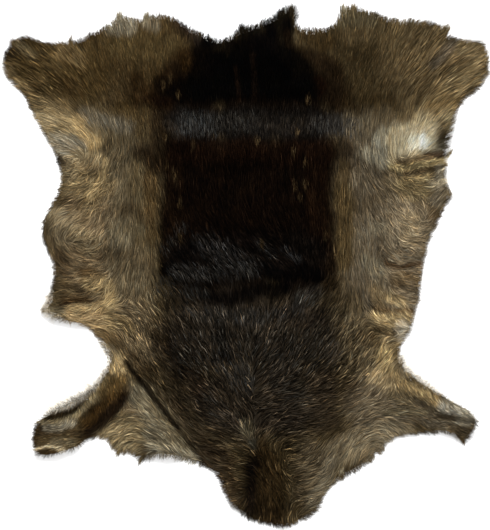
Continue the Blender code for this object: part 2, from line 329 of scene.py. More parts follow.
# How the hair lies: each stroke of the comb is a place, in millimetres, and the direction of the tips there,
# in degrees anticlockwise from +X
Combing = namedtuple("Combing", "name strokes")
COMBINGS = (
    Combing("rump", (
        (-191, 451, 92), (-251, 411, 105), (-291, 471, 110), (-91, 341, 92), (9, 411, 90), (129, 391, 88),
        (209, 491, 98), (249, 481, 74), (269, 441, 74),
    )),
    Combing("left hind leg", (
        (-441, 431, 135), (-471, 391, 152), (-431, 367, 150), (-381, 351, 142), (-341, 341, 124),
        (-301, 301, 110), (-411, 321, 165), (-401, 281, 165), (-361, 275, 155), (-327, 255, 143),
    )),
    Combing("right hind leg", (
        (349, 431, 60), (399, 415, 42), (439, 407, 28), (425, 379, 28), (453, 361, 22), (405, 347, 32),
        (369, 371, 46), (389, 307, 42), (345, 291, 62), (309, 295, 86),
    )),
    Combing("left groin", (
        (-297, 235, 100), (-281, 195, 237), (-303, 171, 215), (-331, 159, 200), (-361, 161, 190),
        (-371, 201, 186), (-277, 187, 74), (-275, 131, 68), (-289, 91, 62), (-247, 67, 84),
        (-241, 171, 92), (-231, 131, 88), (-193, 181, 110), (-193, 111, 104),
    )),
    Combing("left belly", (
        (-295, 51, 236), (-321, 75, 222), (-361, 107, 208), (-387, 83, 250), (-385, 55, 292),
        (-361, 35, 318), (-331, 29, 335), (-351, 75, 225), (-311, -9, 195), (-351, -41, 175),
        (-291, -49, 215), (-267, -29, 238), (-351, -99, 172), (-311, -89, 185), (-271, -75, 215),
        (-247, -105, 160),
    )),
    Combing("loin and back", (
        (-211, 61, 97), (-241, -39, 88), (-131, 171, 90), (-131, 61, 104), (9, 171, 90), (109, 31, 88),
        (189, 231, 90), (209, 131, 88), (249, 31, 92), (-1, -69, 92), (89, -69, 70), (-61, 51, 118),
        (-31, 11, 125), (-81, 21, 122), (-121, -9, 128), (39, 29, 130), (89, 13, 135), (-111, -49, 118),
        (133, -61, 58),
    )),
    Combing("right groin", (
        (299, 271, 83), (325, 281, 76), (349, 275, 66), (373, 267, 48), (391, 251, 28), (405, 269, 28),
        (319, 243, 80), (349, 247, 60), (291, 241, 92), (287, 211, 98), (293, 197, 122), (309, 191, 0),
        (339, 199, 15), (369, 205, 10), (399, 209, 25), (295, 173, 318), (333, 151, 325), (373, 161, 37),
        (309, 131, 302), (339, 119, 290),
    )),
    Combing("right belly", (
        (317, 71, 325), (353, 67, 25), (389, 101, 46), (329, 31, 345), (309, -9, 350), (339, -19, 0),
        (319, -51, 345), (289, 51, 110), (265, -49, 98), (299, -73, 302), (279, -119, 340),
        (299, -159, 25),
    )),
    Combing("withers", (
        (-227, -149, 118), (-191, -129, 120), (-171, -189, 127), (-121, -153, 120), (-51, -129, 106),
        (-1, -149, 106), (33, -139, 72), (89, -149, 68), (149, -149, 58), (209, -169, 55),
        (259, -173, 62),
    )),
    Combing("shoulders", (
        (-131, -233, 135), (-87, -273, 145), (-47, -313, 157), (-67, -353, 170), (-31, -259, 128),
        (-3, -189, 112), (-3, -229, 116), (-3, -269, 122), (33, -179, 48), (31, -219, 44), (37, -249, 30),
        (41, -289, 14), (1, -319, 108), (13, -325, 82), (37, -333, 40), (109, -213, 48), (189, -249, 30),
        (149, -273, 15), (73, -269, 12), (109, -313, 3), (249, -213, 58), (273, -249, 60),
    )),
    Combing("left shoulder", (
        (-167, -293, 127), (-127, -353, 130), (-199, -329, 155), (-241, -329, 205), (-271, -349, 238),
        (-255, -379, 240), (-209, -393, 222), (-91, -393, 140),
    )),
    Combing("left foreleg", (
        (-371, -349, 182), (-401, -349, 186), (-301, -273, 285), (-351, -299, 250), (-371, -369, 205),
        (-321, -349, 190), (-267, -239, 280),
    )),
    Combing("right shoulder", (
        (209, -349, 48), (241, -319, 25), (281, -325, 335), (293, -343, 308), (269, -285, 17),
        (313, -299, 0), (169, -379, 60), (199, -405, 75),
    )),
    Combing("right foreleg", (
        (349, -329, 325), (313, -335, 315), (393, -309, 350), (313, -241, 300), (389, -269, 296),
        (439, -299, 330),
    )),
    Combing("neck", (
        (-11, -349, 160), (-19, -409, 178), (-31, -449, 182), (-19, -491, 215), (11, -513, 260),
        (49, -399, 112), (77, -439, 116), (109, -409, 20), (119, -449, 16), (133, -473, 24),
        (71, -519, 276), (33, -469, 100),
    )),
)

# The coat's colours, painted from first to last, region by region. Each row has a name, a colour as
# seen, from 0 to 255, or a little over where pale hair also glints, how well it covers what is under it,
# its radius and the points of its path, in millimetres.
Dab = namedtuple("Dab", "name colour cover radius path")
REGIONS = (
    ("left rump", (
        ("ground", (70, 55, 32), 0.95, 84, (-281, 431), (-171, 441), (-191, 355)),
        ("olive", (75, 62, 37), 0.5, 32, (-251, 443), (-139, 431)),
        ("dark", (54, 42, 25), 0.6, 30, (-323, 355), (-251, 347)),
        ("grey", (142, 132, 110), 0.65, 20, (-265, 483), (-237, 479)),
        ("grey right", (118, 108, 88), 0.6, 12, (-199, 485), (-179, 479)),
        ("dark edge", (47, 35, 21), 0.75, 14, (-139, 487), (-111, 455)),
    )),
    ("left hind leg", (
        ("ground", (70, 55, 31), 0.9, 72, (-451, 415), (-335, 387)),
        ("corner", (45, 35, 22), 0.65, 18, (-475, 423), (-455, 439)),
        ("pale streaks", (112, 99, 72), 0.4, 10, (-459, 447), (-427, 419)),
        ("light", (116, 96, 64), 0.55, 20, (-363, 437), (-331, 417)),
        ("lower light", (98, 80, 50), 0.5, 16, (-459, 391), (-431, 371), (-383, 357)),
        ("middle", (82, 64, 38), 0.5, 20, (-371, 369), (-347, 355)),
        ("outer hair", (152, 128, 88), 0.55, 12, (-483, 399), (-455, 363), (-443, 349)),
        ("lower streaks", (128, 107, 72), 0.55, 18, (-423, 323), (-367, 323)),
    )),
    ("left thigh and groin", (
        ("ground", (148, 128, 92), 0.9, 32, (-407, 291), (-359, 277)),
        ("golden", (168, 142, 98), 0.8, 22, (-331, 283), (-317, 267), (-307, 251)),
        ("pale", (190, 168, 128), 0.6, 14, (-415, 295), (-391, 287)),
        ("grey", (184, 170, 142), 0.85, 18, (-377, 247), (-335, 229)),
        # pale hair on the groin's bump, with painted light on its lit top
        ("left groin, bump", (222, 196, 148), 0.8, 16, (-335, 221), (-311, 209), (-291, 211)),
    )),
    ("left of the loin", (
        ("ground", (84, 73, 53), 0.8, 26, (-295, 275), (-223, 271)),
        ("grey", (106, 97, 80), 0.6, 14, (-323, 307), (-283, 293), (-235, 275)),
        ("dark", (62, 51, 33), 0.65, 16, (-271, 237), (-207, 235)),
        ("olive top", (54, 41, 20), 0.5, 14, (-247, 319), (-219, 315)),
    )),
    ("left flank", (
        ("ground", (102, 89, 66), 0.9, 56, (-231, 195), (-247, 51), (-231, -69)),
        ("grey", (104, 93, 71), 0.6, 20, (-275, 175), (-271, 121), (-255, 59)),
        ("olive", (89, 75, 49), 0.6, 28, (-207, 191), (-199, 61)),
        ("olive edge", (90, 72, 45), 0.6, 14, (-193, 175), (-191, 115)),
        # The next two rows: painted shade along ripples in the skin of the flank
        ("ripple", (67, 54, 35), 0.65, 12, (-279, 103), (-227, 111), (-187, 87)),
        ("second ripple", (66, 52, 33), 0.4, 12, (-291, 19), (-235, 23), (-191, 15)),
        ("light", (104, 93, 69), 0.5, 14, (-267, 63), (-211, 67)),
        ("light over the ripple", (122, 110, 86), 0.6, 16, (-283, 55), (-243, 49)),
        ("lower light", (130, 114, 86), 0.55, 16, (-267, -21), (-235, -47)),
    )),
    ("left belly", (
        ("ground", (132, 112, 82), 0.85, 44, (-307, 151), (-327, 31), (-315, -79)),
        ("gold", (146, 125, 88), 0.5, 18, (-311, 131), (-311, 111)),
        ("lobe", (134, 118, 90), 0.85, 32, (-363, 87), (-363, 59)),
        ("above the lobe", (108, 91, 64), 0.5, 14, (-343, 107), (-323, 95)),
        ("brown over the pocket", (98, 78, 50), 0.75, 14, (-319, -17), (-299, -27)),
        ("edge of the lobe", (98, 82, 58), 0.55, 12, (-395, 55), (-375, 19)),
        # painted shade in the valley beside the belly's lobe
        ("valley", (58, 44, 28), 0.65, 14, (-371, 15), (-363, -21)),
        ("golden brown", (88, 70, 45), 0.75, 16, (-323, -11), (-299, -25)),
        ("light", (162, 142, 106), 0.8, 20, (-335, 59), (-311, 39)),
    )),
    ("left groin", (
        ("curls", (138, 118, 82), 0.8, 32, (-347, 175), (-299, 159)),
        ("curls at the edge", (132, 117, 90), 0.5, 16, (-363, 203), (-351, 179)),
        ("edge of the curls", (172, 148, 105), 0.6, 8, (-281, 211), (-291, 171), (-311, 139)),
        # painted shade in the groin's hollow
        ("hollow", (35, 27, 18), 0.85, 9, (-383, 225), (-371, 205)),
        ("dark", (70, 54, 34), 0.2, 10, (-369, 195), (-359, 155)),
        # pale hair on the bump, with painted light on its lit top
        ("lower bump", (196, 170, 126), 0.6, 12, (-331, 203), (-303, 197)),
    )),
    ("left pocket", (
        # painted shade in the pocket behind the lit edge
        ("ground", (70, 54, 33), 0.7, 10, (-367, -65), (-351, -71), (-319, -67)),
        ("strands", (170, 146, 103), 0.8, 20, (-307, -37), (-275, -49)),
        ("brown over the strands", (92, 74, 48), 0.5, 12, (-319, -15), (-303, -25)),
        ("inner shade", (72, 54, 30), 0.5, 12, (-347, -65), (-319, -73)),
        ("above", (122, 102, 70), 0.8, 13, (-367, -37), (-353, -49)),
    )),
    ("left elbow and pocket", (
        # golden hair, set lighter as painted light on a slope that faces away from the window lamp
        ("ground", (198, 168, 121), 0.85, 26, (-343, -111), (-267, -111)),
        ("left pocket, shadow line", (44, 30, 15), 0.85, 5, (-371, -77), (-339, -71), (-295, -75)),
        ("left pocket, lit edge", (184, 157, 111), 0.85, 9, (-347, -87), (-291, -83), (-263, -65)),
        ("tip", (127, 114, 87), 0.7, 14, (-407, -85), (-371, -97)),
        ("brown", (138, 112, 74), 0.7, 16, (-287, -137), (-247, -145)),
        ("behind the leg", (146, 123, 85), 0.7, 12, (-247, -175), (-231, -191)),
        ("light band", (131, 113, 79), 0.7, 12, (-235, -113), (-227, -141), (-211, -161)),
        ("curls", (160, 142, 110), 0.6, 8, (-291, -159), (-267, -169)),
        ("gold", (188, 162, 114), 0.75, 18, (-265, -77), (-263, -113)),
        ("olive", (138, 117, 78), 0.5, 14, (-247, -109), (-231, -125)),
    )),
    ("left of the withers, and elbow", (
        ("ground", (120, 103, 76), 0.85, 38, (-231, -97), (-211, -163)),
        ("dark", (50, 38, 24), 0.5, 18, (-159, -139), (-143, -189)),
        ("olive", (60, 49, 32), 0.5, 14, (-175, -131), (-159, -151)),
        ("left elbow, olive side", (130, 110, 73), 0.5, 14, (-247, -109), (-233, -125)),
    )),
    ("right rump", (
        ("ground", (56, 45, 27), 0.95, 84, (209, 441), (245, 347)),
        ("top", (97, 87, 64), 0.5, 18, (185, 495), (253, 487)),
        ("light", (94, 78, 52), 0.6, 20, (209, 459), (245, 459)),
        ("olive", (77, 63, 38), 0.5, 32, (309, 451), (339, 411)),
        ("dark", (50, 39, 22), 0.6, 24, (205, 327), (281, 317)),
    )),
    ("right hind leg", (
        ("ground", (96, 80, 54), 0.85, 72, (339, 407), (439, 371)),
        ("grey", (79, 71, 60), 0.6, 12, (413, 443), (377, 403)),
        ("golden", (151, 130, 92), 0.75, 24, (409, 359), (465, 391)),
        ("corner", (121, 104, 73), 0.6, 16, (433, 439), (473, 427)),
        ("lower", (120, 99, 64), 0.6, 24, (373, 311), (409, 325)),
        ("foot", (134, 121, 91), 0.5, 14, (401, 301), (415, 283)),
        ("dark end", (75, 58, 32), 0.5, 10, (477, 399), (477, 391)),
    )),
    ("right of the loin", (
        ("ground", (90, 80, 62), 0.8, 40, (199, 281), (269, 271)),
        ("grey", (166, 156, 130), 0.8, 18, (275, 263), (267, 211)),
    )),
    ("right flank and loin", (
        ("ground", (101, 89, 70), 0.9, 60, (233, 201), (253, -49)),
        ("light", (127, 116, 93), 0.6, 14, (257, 79), (289, 75)),
        ("lower light", (131, 121, 97), 0.65, 16, (245, 7), (269, -5)),
        ("light by the crease", (130, 117, 93), 0.5, 14, (261, -11), (269, -33)),
        ("dark band", (77, 64, 44), 0.55, 14, (209, 115), (269, 131)),
        ("olive", (89, 73, 45), 0.6, 18, (199, 151), (201, 11)),
        # painted shade in a short crease
        ("short crease", (47, 37, 24), 0.8, 4, (275, 171), (289, 151)),
        ("right of the loin, lower grey", (170, 160, 134), 0.8, 14, (243, 223), (273, 207)),
        ("right of the loin, inner grey", (168, 160, 136), 0.55, 12, (261, 251), (273, 231)),
        ("right of the loin, dark top", (72, 61, 43), 0.6, 14, (257, 299), (273, 285)),
    )),
    ("right belly", (
        ("ground", (148, 131, 104), 0.85, 40, (329, 111), (317, -69)),
        ("rings", (164, 144, 110), 0.75, 22, (333, 87), (333, 51)),
        ("smooth", (146, 132, 108), 0.75, 18, (381, 151), (385, 135)),
        ("dark", (85, 69, 49), 0.65, 14, (377, 107), (365, 87)),
        ("shade over the crease", (90, 75, 55), 0.5, 14, (327, -17), (345, -25)),
    )),
    ("right groin, belly and elbow", (
        ("ground", (182, 166, 132), 0.9, 26, (309, 255), (357, 271)),
        ("golden rim", (204, 184, 142), 0.6, 10, (291, 259), (289, 239), (291, 211)),
        ("upper left", (66, 56, 39), 0.9, 14, (273, 311), (287, 289)),
        ("pale", (250, 234, 192), 0.9, 22, (313, 241), (357, 253)),
        ("tan above", (142, 126, 94), 0.6, 14, (351, 299), (375, 291)),
        # The next two rows: pale hair with a painted glint, set over 255, and a painted bluish reflection of
        # the sky on it
        ("white", (290, 284, 256), 0.85, 12, (333, 247), (357, 247)),
        ("bluish white", (310, 316, 304), 0.8, 7, (351, 259), (355, 241)),
        ("tan", (166, 150, 118), 0.8, 8, (309, 219), (349, 227)),
        ("streaked", (116, 110, 92), 0.55, 10, (383, 231), (401, 247)),
        # painted shade in the hollow
        ("hollow", (50, 36, 24), 0.9, 9, (361, 221), (395, 221)),
        # painted shade in the fold
        ("fold", (110, 91, 63), 0.7, 5, (301, 203), (337, 211), (369, 217)),
        ("curls", (142, 123, 86), 0.8, 26, (325, 155), (357, 163)),
        ("left curls", (138, 120, 90), 0.6, 12, (285, 175), (297, 159)),
        # golden hair, lighter as painted light on the crest of the ridge
        ("ridge", (205, 181, 129), 0.8, 7, (291, 197), (313, 191), (349, 201), (401, 209)),
        # painted shade in the second fold
        ("second fold", (88, 72, 50), 0.75, 6, (315, 181), (361, 189)),
        # pale hair, with painted light on the lower ridge
        ("lower ridge", (180, 167, 140), 0.7, 9, (389, 195), (401, 175)),
        ("pale side", (152, 141, 118), 0.5, 16, (381, 163), (393, 175)),
        ("brown under the curls", (96, 82, 59), 0.5, 14, (351, 127), (369, 119)),
        ("right belly, light by the edge", (130, 117, 94), 0.5, 14, (357, 85), (365, 67)),
        ("pale lock", (160, 142, 104), 0.7, 5, (333, 135), (369, 157)),
        # painted shade in the belly's crease
        ("right belly, crease", (64, 44, 24), 0.85, 6, (283, 3), (309, -5), (349, 3)),
        ("right belly, brown", (104, 83, 52), 0.7, 18, (301, -29), (337, -37)),
        ("right belly, light under the crease", (128, 112, 88), 0.55, 12, (327, -45), (345, -49)),
        ("right belly, wedge", (182, 157, 112), 0.8, 12, (289, -61), (313, -73)),
        ("right belly, gold border", (152, 128, 90), 0.7, 16, (261, -49), (269, -77)),
        ("right belly, golden", (172, 148, 105), 0.9, 20, (271, -101), (313, -105)),
        # painted shade in the belly's second crease
        ("right belly, second crease", (79, 56, 30), 0.85, 5, (259, -87), (297, -91), (333, -91)),
        ("right belly, pale", (232, 217, 187), 0.75, 12, (313, -121), (315, -145)),
        ("right elbow, dark", (96, 74, 46), 0.45, 10, (213, -157), (249, -141)),
        ("right elbow, brown", (150, 128, 90), 0.6, 12, (279, -147), (309, -161)),
        ("right elbow, gold end", (164, 141, 103), 0.7, 12, (285, -139), (293, -145)),
    )),
    ("right of the withers, and elbow", (
        ("ground", (112, 97, 71), 0.85, 40, (201, -117), (213, -169), (241, -201)),
        ("light", (138, 121, 91), 0.6, 14, (235, -179), (247, -197)),
        ("right elbow, light below", (160, 139, 103), 0.5, 14, (259, -181), (273, -197)),
        ("right flank, olive foot", (70, 58, 37), 0.6, 14, (213, -57), (221, -81)),
        ("right of the back, foot", (53, 42, 26), 0.5, 14, (185, -65), (197, -81)),
        ("right elbow, gold", (184, 159, 112), 0.8, 18, (277, -177), (285, -213)),
    )),
    ("saddle and loin", (
        ("brown surround", (40, 28, 14), 0.85, 30, (-175, 347), (-143, 379), (-103, 419)),
        ("brown surround, right", (42, 31, 16), 0.8, 30, (109, 415), (161, 395), (181, 347)),
        ("loin, olive left end", (66, 53, 32), 0.8, 18, (-209, 315), (-209, 267)),
        ("loin, brown under the left end", (33, 22, 10), 0.75, 16, (-209, 223), (-187, 211), (-183, 191)),
        ("loin, brown left end", (40, 30, 18), 0.88, 20, (-171, 303), (-173, 283), (-173, 257)),
        ("loin, brown right end", (36, 26, 14), 0.85, 22, (173, 351), (189, 319)),
        ("loin, upper side of the right end", (44, 33, 17), 0.7, 14, (209, 325), (223, 309)),
        ("dark brown left", (31, 20, 10), 0.75, 24, (-167, 359), (-139, 383), (-111, 411)),
        ("brown foot, left", (34, 21, 8), 0.75, 20, (-219, 367), (-211, 335)),
        ("dark brown right", (29, 20, 11), 0.75, 28, (125, 407), (165, 387), (181, 347)),
        ("ground", (19, 12, 6), 1, 60, (-111, 335), (-111, -21), (1, -21), (1, 335), (113, 335),
         (113, -21)),
        ("brown ends under the loin", (40, 29, 17), 0.8, 22, (-187, 227), (-171, 207)),
        ("brown right end", (42, 31, 18), 0.8, 22, (181, 227), (201, 231)),
        ("golden left edge", (84, 66, 40), 0.7, 14, (-187, 175), (-187, 61)),
        ("golden right edge", (80, 64, 38), 0.75, 18, (195, 195), (195, 7)),
        ("ground", (15, 8, 4), 1, 80, (-79, 163), (85, 163), (85, 87), (-79, 87)),
        ("left side", (22, 13, 6), 0.95, 24, (-145, 195), (-147, 131), (-149, 7)),
        ("brown at the loin", (38, 26, 14), 0.5, 14, (-127, 247), (-111, 237)),
        ("right side", (23, 13, 6), 0.95, 28, (149, 207), (151, 7)),
        ("right foot", (28, 19, 10), 0.85, 16, (165, 7), (169, -41)),
        ("under the loin", (29, 17, 9), 0.9, 24, (-143, 227), (9, 231), (153, 227)),
        ("loin strip", (21, 18, 15), 0.97, 32, (-127, 287), (169, 283)),
        ("loin strip, left end", (46, 39, 31), 0.6, 14, (-147, 275), (-133, 259)),
        ("black sides", (8, 4, 2), 0.9, 26, (-151, 345), (137, 355)),
        ("black left end", (12, 7, 3), 0.85, 18, (-167, 363), (-171, 331)),
        ("brown at the upper left", (50, 34, 14), 0.5, 16, (-123, 421), (-115, 399)),
        ("brown by the loin's left end", (20, 9, 3), 0.7, 16, (-191, 331), (-159, 319)),
        ("black", (3, 2, 1), 1, 60, (-35, 399), (57, 399)),
        ("black left", (5, 3, 2), 0.95, 26, (-85, 443), (-75, 411), (-95, 375)),
        ("black right", (7, 5, 3), 0.9, 20, (77, 431), (109, 395), (129, 367)),
        ("brown at the right", (26, 14, 6), 0.7, 14, (141, 369), (151, 355)),
        ("black toward the right", (8, 5, 2), 0.7, 16, (109, 347), (125, 333)),
        ("black, lower", (4, 3, 2), 0.97, 28, (-95, 355), (117, 355)),
        ("black over the loin's left end", (6, 3, 1), 0.8, 14, (-147, 345), (-127, 333)),
    )),
    ("tail and rump", (
        ("tail", (6, 4, 2), 0.95, 30, (-1, 447), (77, 487)),
        ("tail, right side", (9, 6, 4), 0.95, 14, (85, 483), (85, 451)),
        ("tail, base", (5, 3, 2), 0.95, 22, (21, 439), (53, 447)),
        ("tail, brown right side", (26, 17, 8), 0.6, 10, (85, 463), (91, 439)),
        ("tail, black left edge", (4, 2, 1), 0.85, 12, (41, 487), (53, 471)),
        ("rump, dark strands", (38, 31, 26), 0.6, 10, (-135, 491), (-115, 471), (-95, 453)),
        ("rump, black edge", (5, 3, 2), 0.9, 12, (-83, 447), (-27, 447)),
        ("right of the tail", (52, 39, 20), 0.8, 20, (125, 459), (157, 447)),
        ("spine, left", (27, 17, 10), 0.45, 4, (-19, 395), (-11, 327)),
        ("spine", (26, 17, 10), 0.45, 5, (15, 421), (19, 327)),
        ("rump, light streak", (34, 27, 17), 0.3, 5, (-47, 447), (-35, 423)),
    )),
    ("back, withers and shoulders", (
        ("back", (51, 43, 34), 0.95, 88, (-91, -133), (109, -133), (79, -269), (-35, -269)),
        ("back, dark left foot", (30, 24, 17), 0.6, 16, (-155, -61), (-127, -77)),
        ("under the back", (15, 11, 8), 0.92, 50, (-119, 7), (33, 19), (117, 19)),
        ("back, brown under the saddle", (24, 17, 13), 0.6, 14, (-15, 55), (17, 49)),
        ("withers, left", (50, 41, 30), 0.7, 36, (-153, -169), (-119, -245)),
        ("withers, dark left end", (33, 27, 20), 0.6, 14, (-155, -85), (-133, -99)),
        ("withers, right", (62, 53, 40), 0.7, 40, (141, -159), (133, -257)),
        # painted shade, on near-black hair, on the far slope of the roll across the loin
        ("dark under the loin", (20, 12, 7), 0.4, 8, (-155, 245), (9, 247), (169, 247)),
        ("dark under the back, left", (9, 6, 4), 0.9, 13, (-165, -13), (-135, 13), (-103, 35)),
        ("dark under the back, right", (6, 4, 3), 0.92, 18, (37, -9), (101, -11), (145, -21)),
        ("under the back, brown", (26, 19, 14), 0.5, 14, (63, 9), (87, 3)),
        # painted shade, on near-black hair, on the far slope of the roll across the back
        ("dark under the back, middle", (8, 6, 5), 0.88, 16, (-83, -63), (-35, -69), (21, -55),
         (81, -43)),
        ("withers, pale", (46, 42, 36), 0.6, 20, (-91, -99), (29, -107)),
        ("withers, right patch", (44, 41, 37), 0.5, 18, (105, -73), (141, -57)),
        ("withers, right of the patch", (28, 23, 19), 0.6, 14, (63, -89), (87, -97)),
        ("withers, dark at the right", (29, 23, 17), 0.5, 14, (113, -109), (129, -125)),
        ("withers, light at the right", (86, 74, 59), 0.6, 14, (161, -157), (177, -173)),
        ("withers, right dark", (20, 15, 11), 0.55, 8, (169, -65), (125, -129)),
        ("withers, dark middle", (11, 8, 6), 0.87, 16, (-49, -141), (-41, -175)),
        ("withers, dark left", (24, 17, 11), 0.6, 18, (-155, -139), (-127, -213)),
        ("withers, olive left edge", (57, 46, 31), 0.55, 12, (-177, -131), (-163, -149)),
        ("shoulders, dark left", (28, 20, 14), 0.7, 18, (-101, -217), (-93, -253)),
    )),
    ("parting of the shoulders", (
        ("parting, light side", (74, 64, 50), 0.7, 12, (1, -169), (-1, -221), (21, -241)),
        ("parting", (18, 13, 9), 0.7, 5, (21, -139), (21, -213)),
        ("parting, tan", (60, 44, 26), 0.6, 6, (-11, -223), (-11, -245)),
        ("light by the parting", (80, 73, 61), 0.6, 12, (-7, -201), (1, -227)),
        ("left of the parting", (64, 56, 45), 0.5, 16, (-27, -229), (-19, -253)),
    )),
    ("right shoulder and withers", (
        ("ground", (120, 106, 83), 0.9, 52, (249, -273), (277, -317)),
        ("withers, right lower", (54, 44, 32), 0.8, 32, (157, -229), (161, -309)),
        ("withers, right edge", (66, 54, 39), 0.6, 20, (209, -237), (209, -265)),
        ("wavy", (158, 142, 112), 0.7, 26, (177, -385), (241, -341), (309, -333)),
        ("beside the waves", (84, 73, 54), 0.45, 14, (189, -349), (197, -365)),
        ("dark end of the waves", (78, 68, 50), 0.5, 14, (165, -371), (173, -387)),
        ("lower edge", (140, 124, 96), 0.6, 16, (229, -389), (249, -375)),
        ("edge", (110, 95, 69), 0.6, 18, (125, -493), (181, -413)),
    )),
    ("right foreleg", (
        ("ground", (101, 89, 69), 0.9, 28, (319, -279), (439, -317)),
        ("golden strip", (195, 167, 118), 0.95, 13, (281, -217), (317, -237), (361, -257), (399, -273)),
        ("golden root", (190, 165, 122), 0.75, 18, (263, -225), (291, -239)),
        ("dark edge", (79, 66, 44), 0.75, 7, (325, -225), (349, -239), (373, -251), (413, -271)),
        ("pale end", (178, 168, 145), 0.8, 13, (397, -279), (445, -295)),
        ("pale middle", (192, 183, 162), 0.7, 10, (395, -281), (421, -291)),
        ("light line", (118, 106, 79), 0.6, 8, (285, -293), (359, -291)),
        ("end", (144, 134, 113), 0.7, 10, (425, -315), (443, -309)),
        ("top", (128, 112, 82), 0.6, 12, (297, -259), (329, -273)),
        ("root of the fringe", (156, 136, 102), 0.6, 12, (305, -199), (321, -215)),
        ("grey", (101, 91, 73), 0.7, 8, (359, -317), (409, -321)),
        # The next two rows: painted shade under the rolled foreleg and in its groove
        ("underside", (80, 67, 47), 0.75, 10, (413, -329), (449, -329)),
        ("groove", (38, 28, 17), 0.65, 4, (381, -303), (421, -307)),
        ("tip", (66, 52, 33), 0.7, 8, (415, -349), (433, -351)),
    )),
    ("neck", (
        ("left", (76, 60, 40), 0.9, 30, (-59, -393), (-33, -465)),
        ("left upper", (68, 54, 38), 0.6, 14, (-77, -369), (-67, -393)),
        ("left edge", (78, 62, 43), 0.6, 18, (-91, -365), (-59, -421)),
        ("brown", (48, 35, 18), 0.9, 38, (43, -381), (49, -493)),
        ("olive", (62, 50, 30), 0.5, 26, (85, -357), (93, -477)),
        ("right", (106, 92, 69), 0.85, 28, (129, -379), (129, -453)),
        ("right edge", (128, 117, 95), 0.7, 16, (169, -393), (165, -433), (137, -469)),
        ("brown side", (78, 66, 46), 0.5, 18, (97, -361), (105, -485)),
        # The next three rows: painted shade along the neck's furrow, where a pucker presses the skin down
        ("beside the furrow", (25, 17, 9), 0.7, 24, (13, -393), (9, -473)),
        ("furrow", (14, 9, 6), 0.9, 12, (13, -395), (13, -449), (7, -493)),
        ("foot of the furrow", (20, 14, 8), 0.4, 16, (17, -485), (25, -497)),
    )),
    ("left shoulder", (
        ("ground", (121, 108, 82), 0.95, 40, (-211, -265), (-139, -361)),
        ("pale", (150, 138, 111), 0.6, 18, (-211, -257), (-203, -297), (-179, -353), (-119, -381)),
        ("tan", (170, 149, 110), 0.9, 28, (-279, -337), (-231, -349)),
        ("pale edge", (150, 140, 117), 0.6, 12, (-187, -365), (-139, -375), (-99, -389)),
        ("shade", (96, 85, 66), 0.4, 16, (-177, -329), (-159, -341)),
        ("beside the channel", (134, 115, 86), 0.8, 12, (-243, -279), (-223, -297)),
        ("upper tan", (160, 140, 102), 0.7, 16, (-247, -305), (-223, -317)),
    )),
    ("left foreleg", (
        ("ground", (83, 67, 42), 0.95, 38, (-275, -265), (-395, -341)),
        ("top", (182, 156, 111), 0.85, 16, (-253, -187), (-253, -209)),
        ("middle", (140, 121, 84), 0.85, 14, (-275, -233), (-303, -269)),
        ("inner edge", (83, 71, 49), 0.7, 8, (-315, -253), (-287, -217), (-275, -201)),
        ("pale hair at the edge", (196, 186, 168), 0.85, 9, (-391, -289), (-359, -279), (-327, -261),
         (-299, -237)),
        # painted shade in the groove along the foreleg's upper edge
        ("groove", (35, 26, 15), 0.85, 7, (-403, -307), (-371, -299), (-343, -293), (-319, -277)),
        ("lit ridge", (200, 179, 136), 0.85, 6, (-403, -315), (-367, -313), (-341, -301), (-323, -285),
         (-299, -261)),
        # painted highlight along the top of the rolled foreleg
        ("light", (182, 170, 144), 0.7, 10, (-399, -323), (-367, -321), (-347, -315)),
        ("dark end", (52, 37, 21), 0.7, 6, (-409, -323), (-421, -349), (-417, -365)),
        # painted shadow that the rolled edge casts beside the channel
        ("beside the channel", (44, 31, 17), 0.7, 13, (-323, -341), (-311, -309), (-295, -285)),
        ("lower light", (125, 112, 85), 0.7, 8, (-383, -353), (-347, -353)),
        ("band", (64, 52, 35), 0.6, 5, (-411, -337), (-339, -335)),
        ("golden", (122, 96, 56), 0.8, 18, (-247, -233), (-271, -253)),
        ("brown", (76, 55, 28), 0.85, 14, (-255, -263), (-287, -289), (-311, -313)),
        # painted shadow in the channel, cast by the rolled edge
        ("channel", (28, 19, 11), 0.95, 13, (-311, -335), (-287, -311), (-263, -287), (-239, -265)),
        ("top of the channel", (70, 50, 26), 0.6, 10, (-243, -249), (-231, -249)),
        # painted shade under the rolled foreleg
        ("underside", (58, 42, 22), 0.8, 6, (-415, -375), (-375, -375)),
        ("crease", (224, 202, 160), 0.85, 3, (-419, -365), (-391, -361), (-363, -367)),
    )),
    ("crease of the left shoulder, and neck", (
        ("neck over the shoulder", (60, 49, 35), 0.8, 20, (-139, -277), (-95, -345), (-55, -393)),
        ("neck, dark beside the tuft", (40, 31, 21), 0.5, 14, (-47, -345), (-47, -369)),
        # The next four rows: painted shadow along the crease of the shoulder, where the neck's side lies over
        # it
        ("beside the shoulder's crease", (89, 71, 47), 0.6, 14, (-221, -177), (-195, -213)),
        ("over the shoulder's crease", (52, 41, 28), 0.5, 12, (-191, -231), (-161, -265)),
        ("ground", (22, 15, 9), 0.92, 6, (-241, -191), (-227, -207), (-209, -229), (-193, -251),
         (-175, -275), (-157, -299), (-137, -323)),
        ("lower", (27, 19, 12), 0.75, 5, (-137, -323), (-113, -355), (-95, -379), (-81, -397)),
        ("neck, light beside the crease", (66, 53, 38), 0.5, 10, (-67, -373), (-63, -389)),
        ("pale tuft", (104, 95, 73), 0.75, 12, (3, -317), (5, -331)),
        ("pale tuft, bluish", (50, 53, 47), 0.55, 8, (15, -349), (15, -363)),
        ("tan tuft", (84, 70, 46), 0.6, 12, (53, -349), (61, -363)),
    )),
)
DABS = [Dab(f"{region}: {name}", colour, cover, radius, path)
        for region, rows in REGIONS for name, colour, cover, radius, *path in rows]
UNPAINTED = (88, 74, 50)

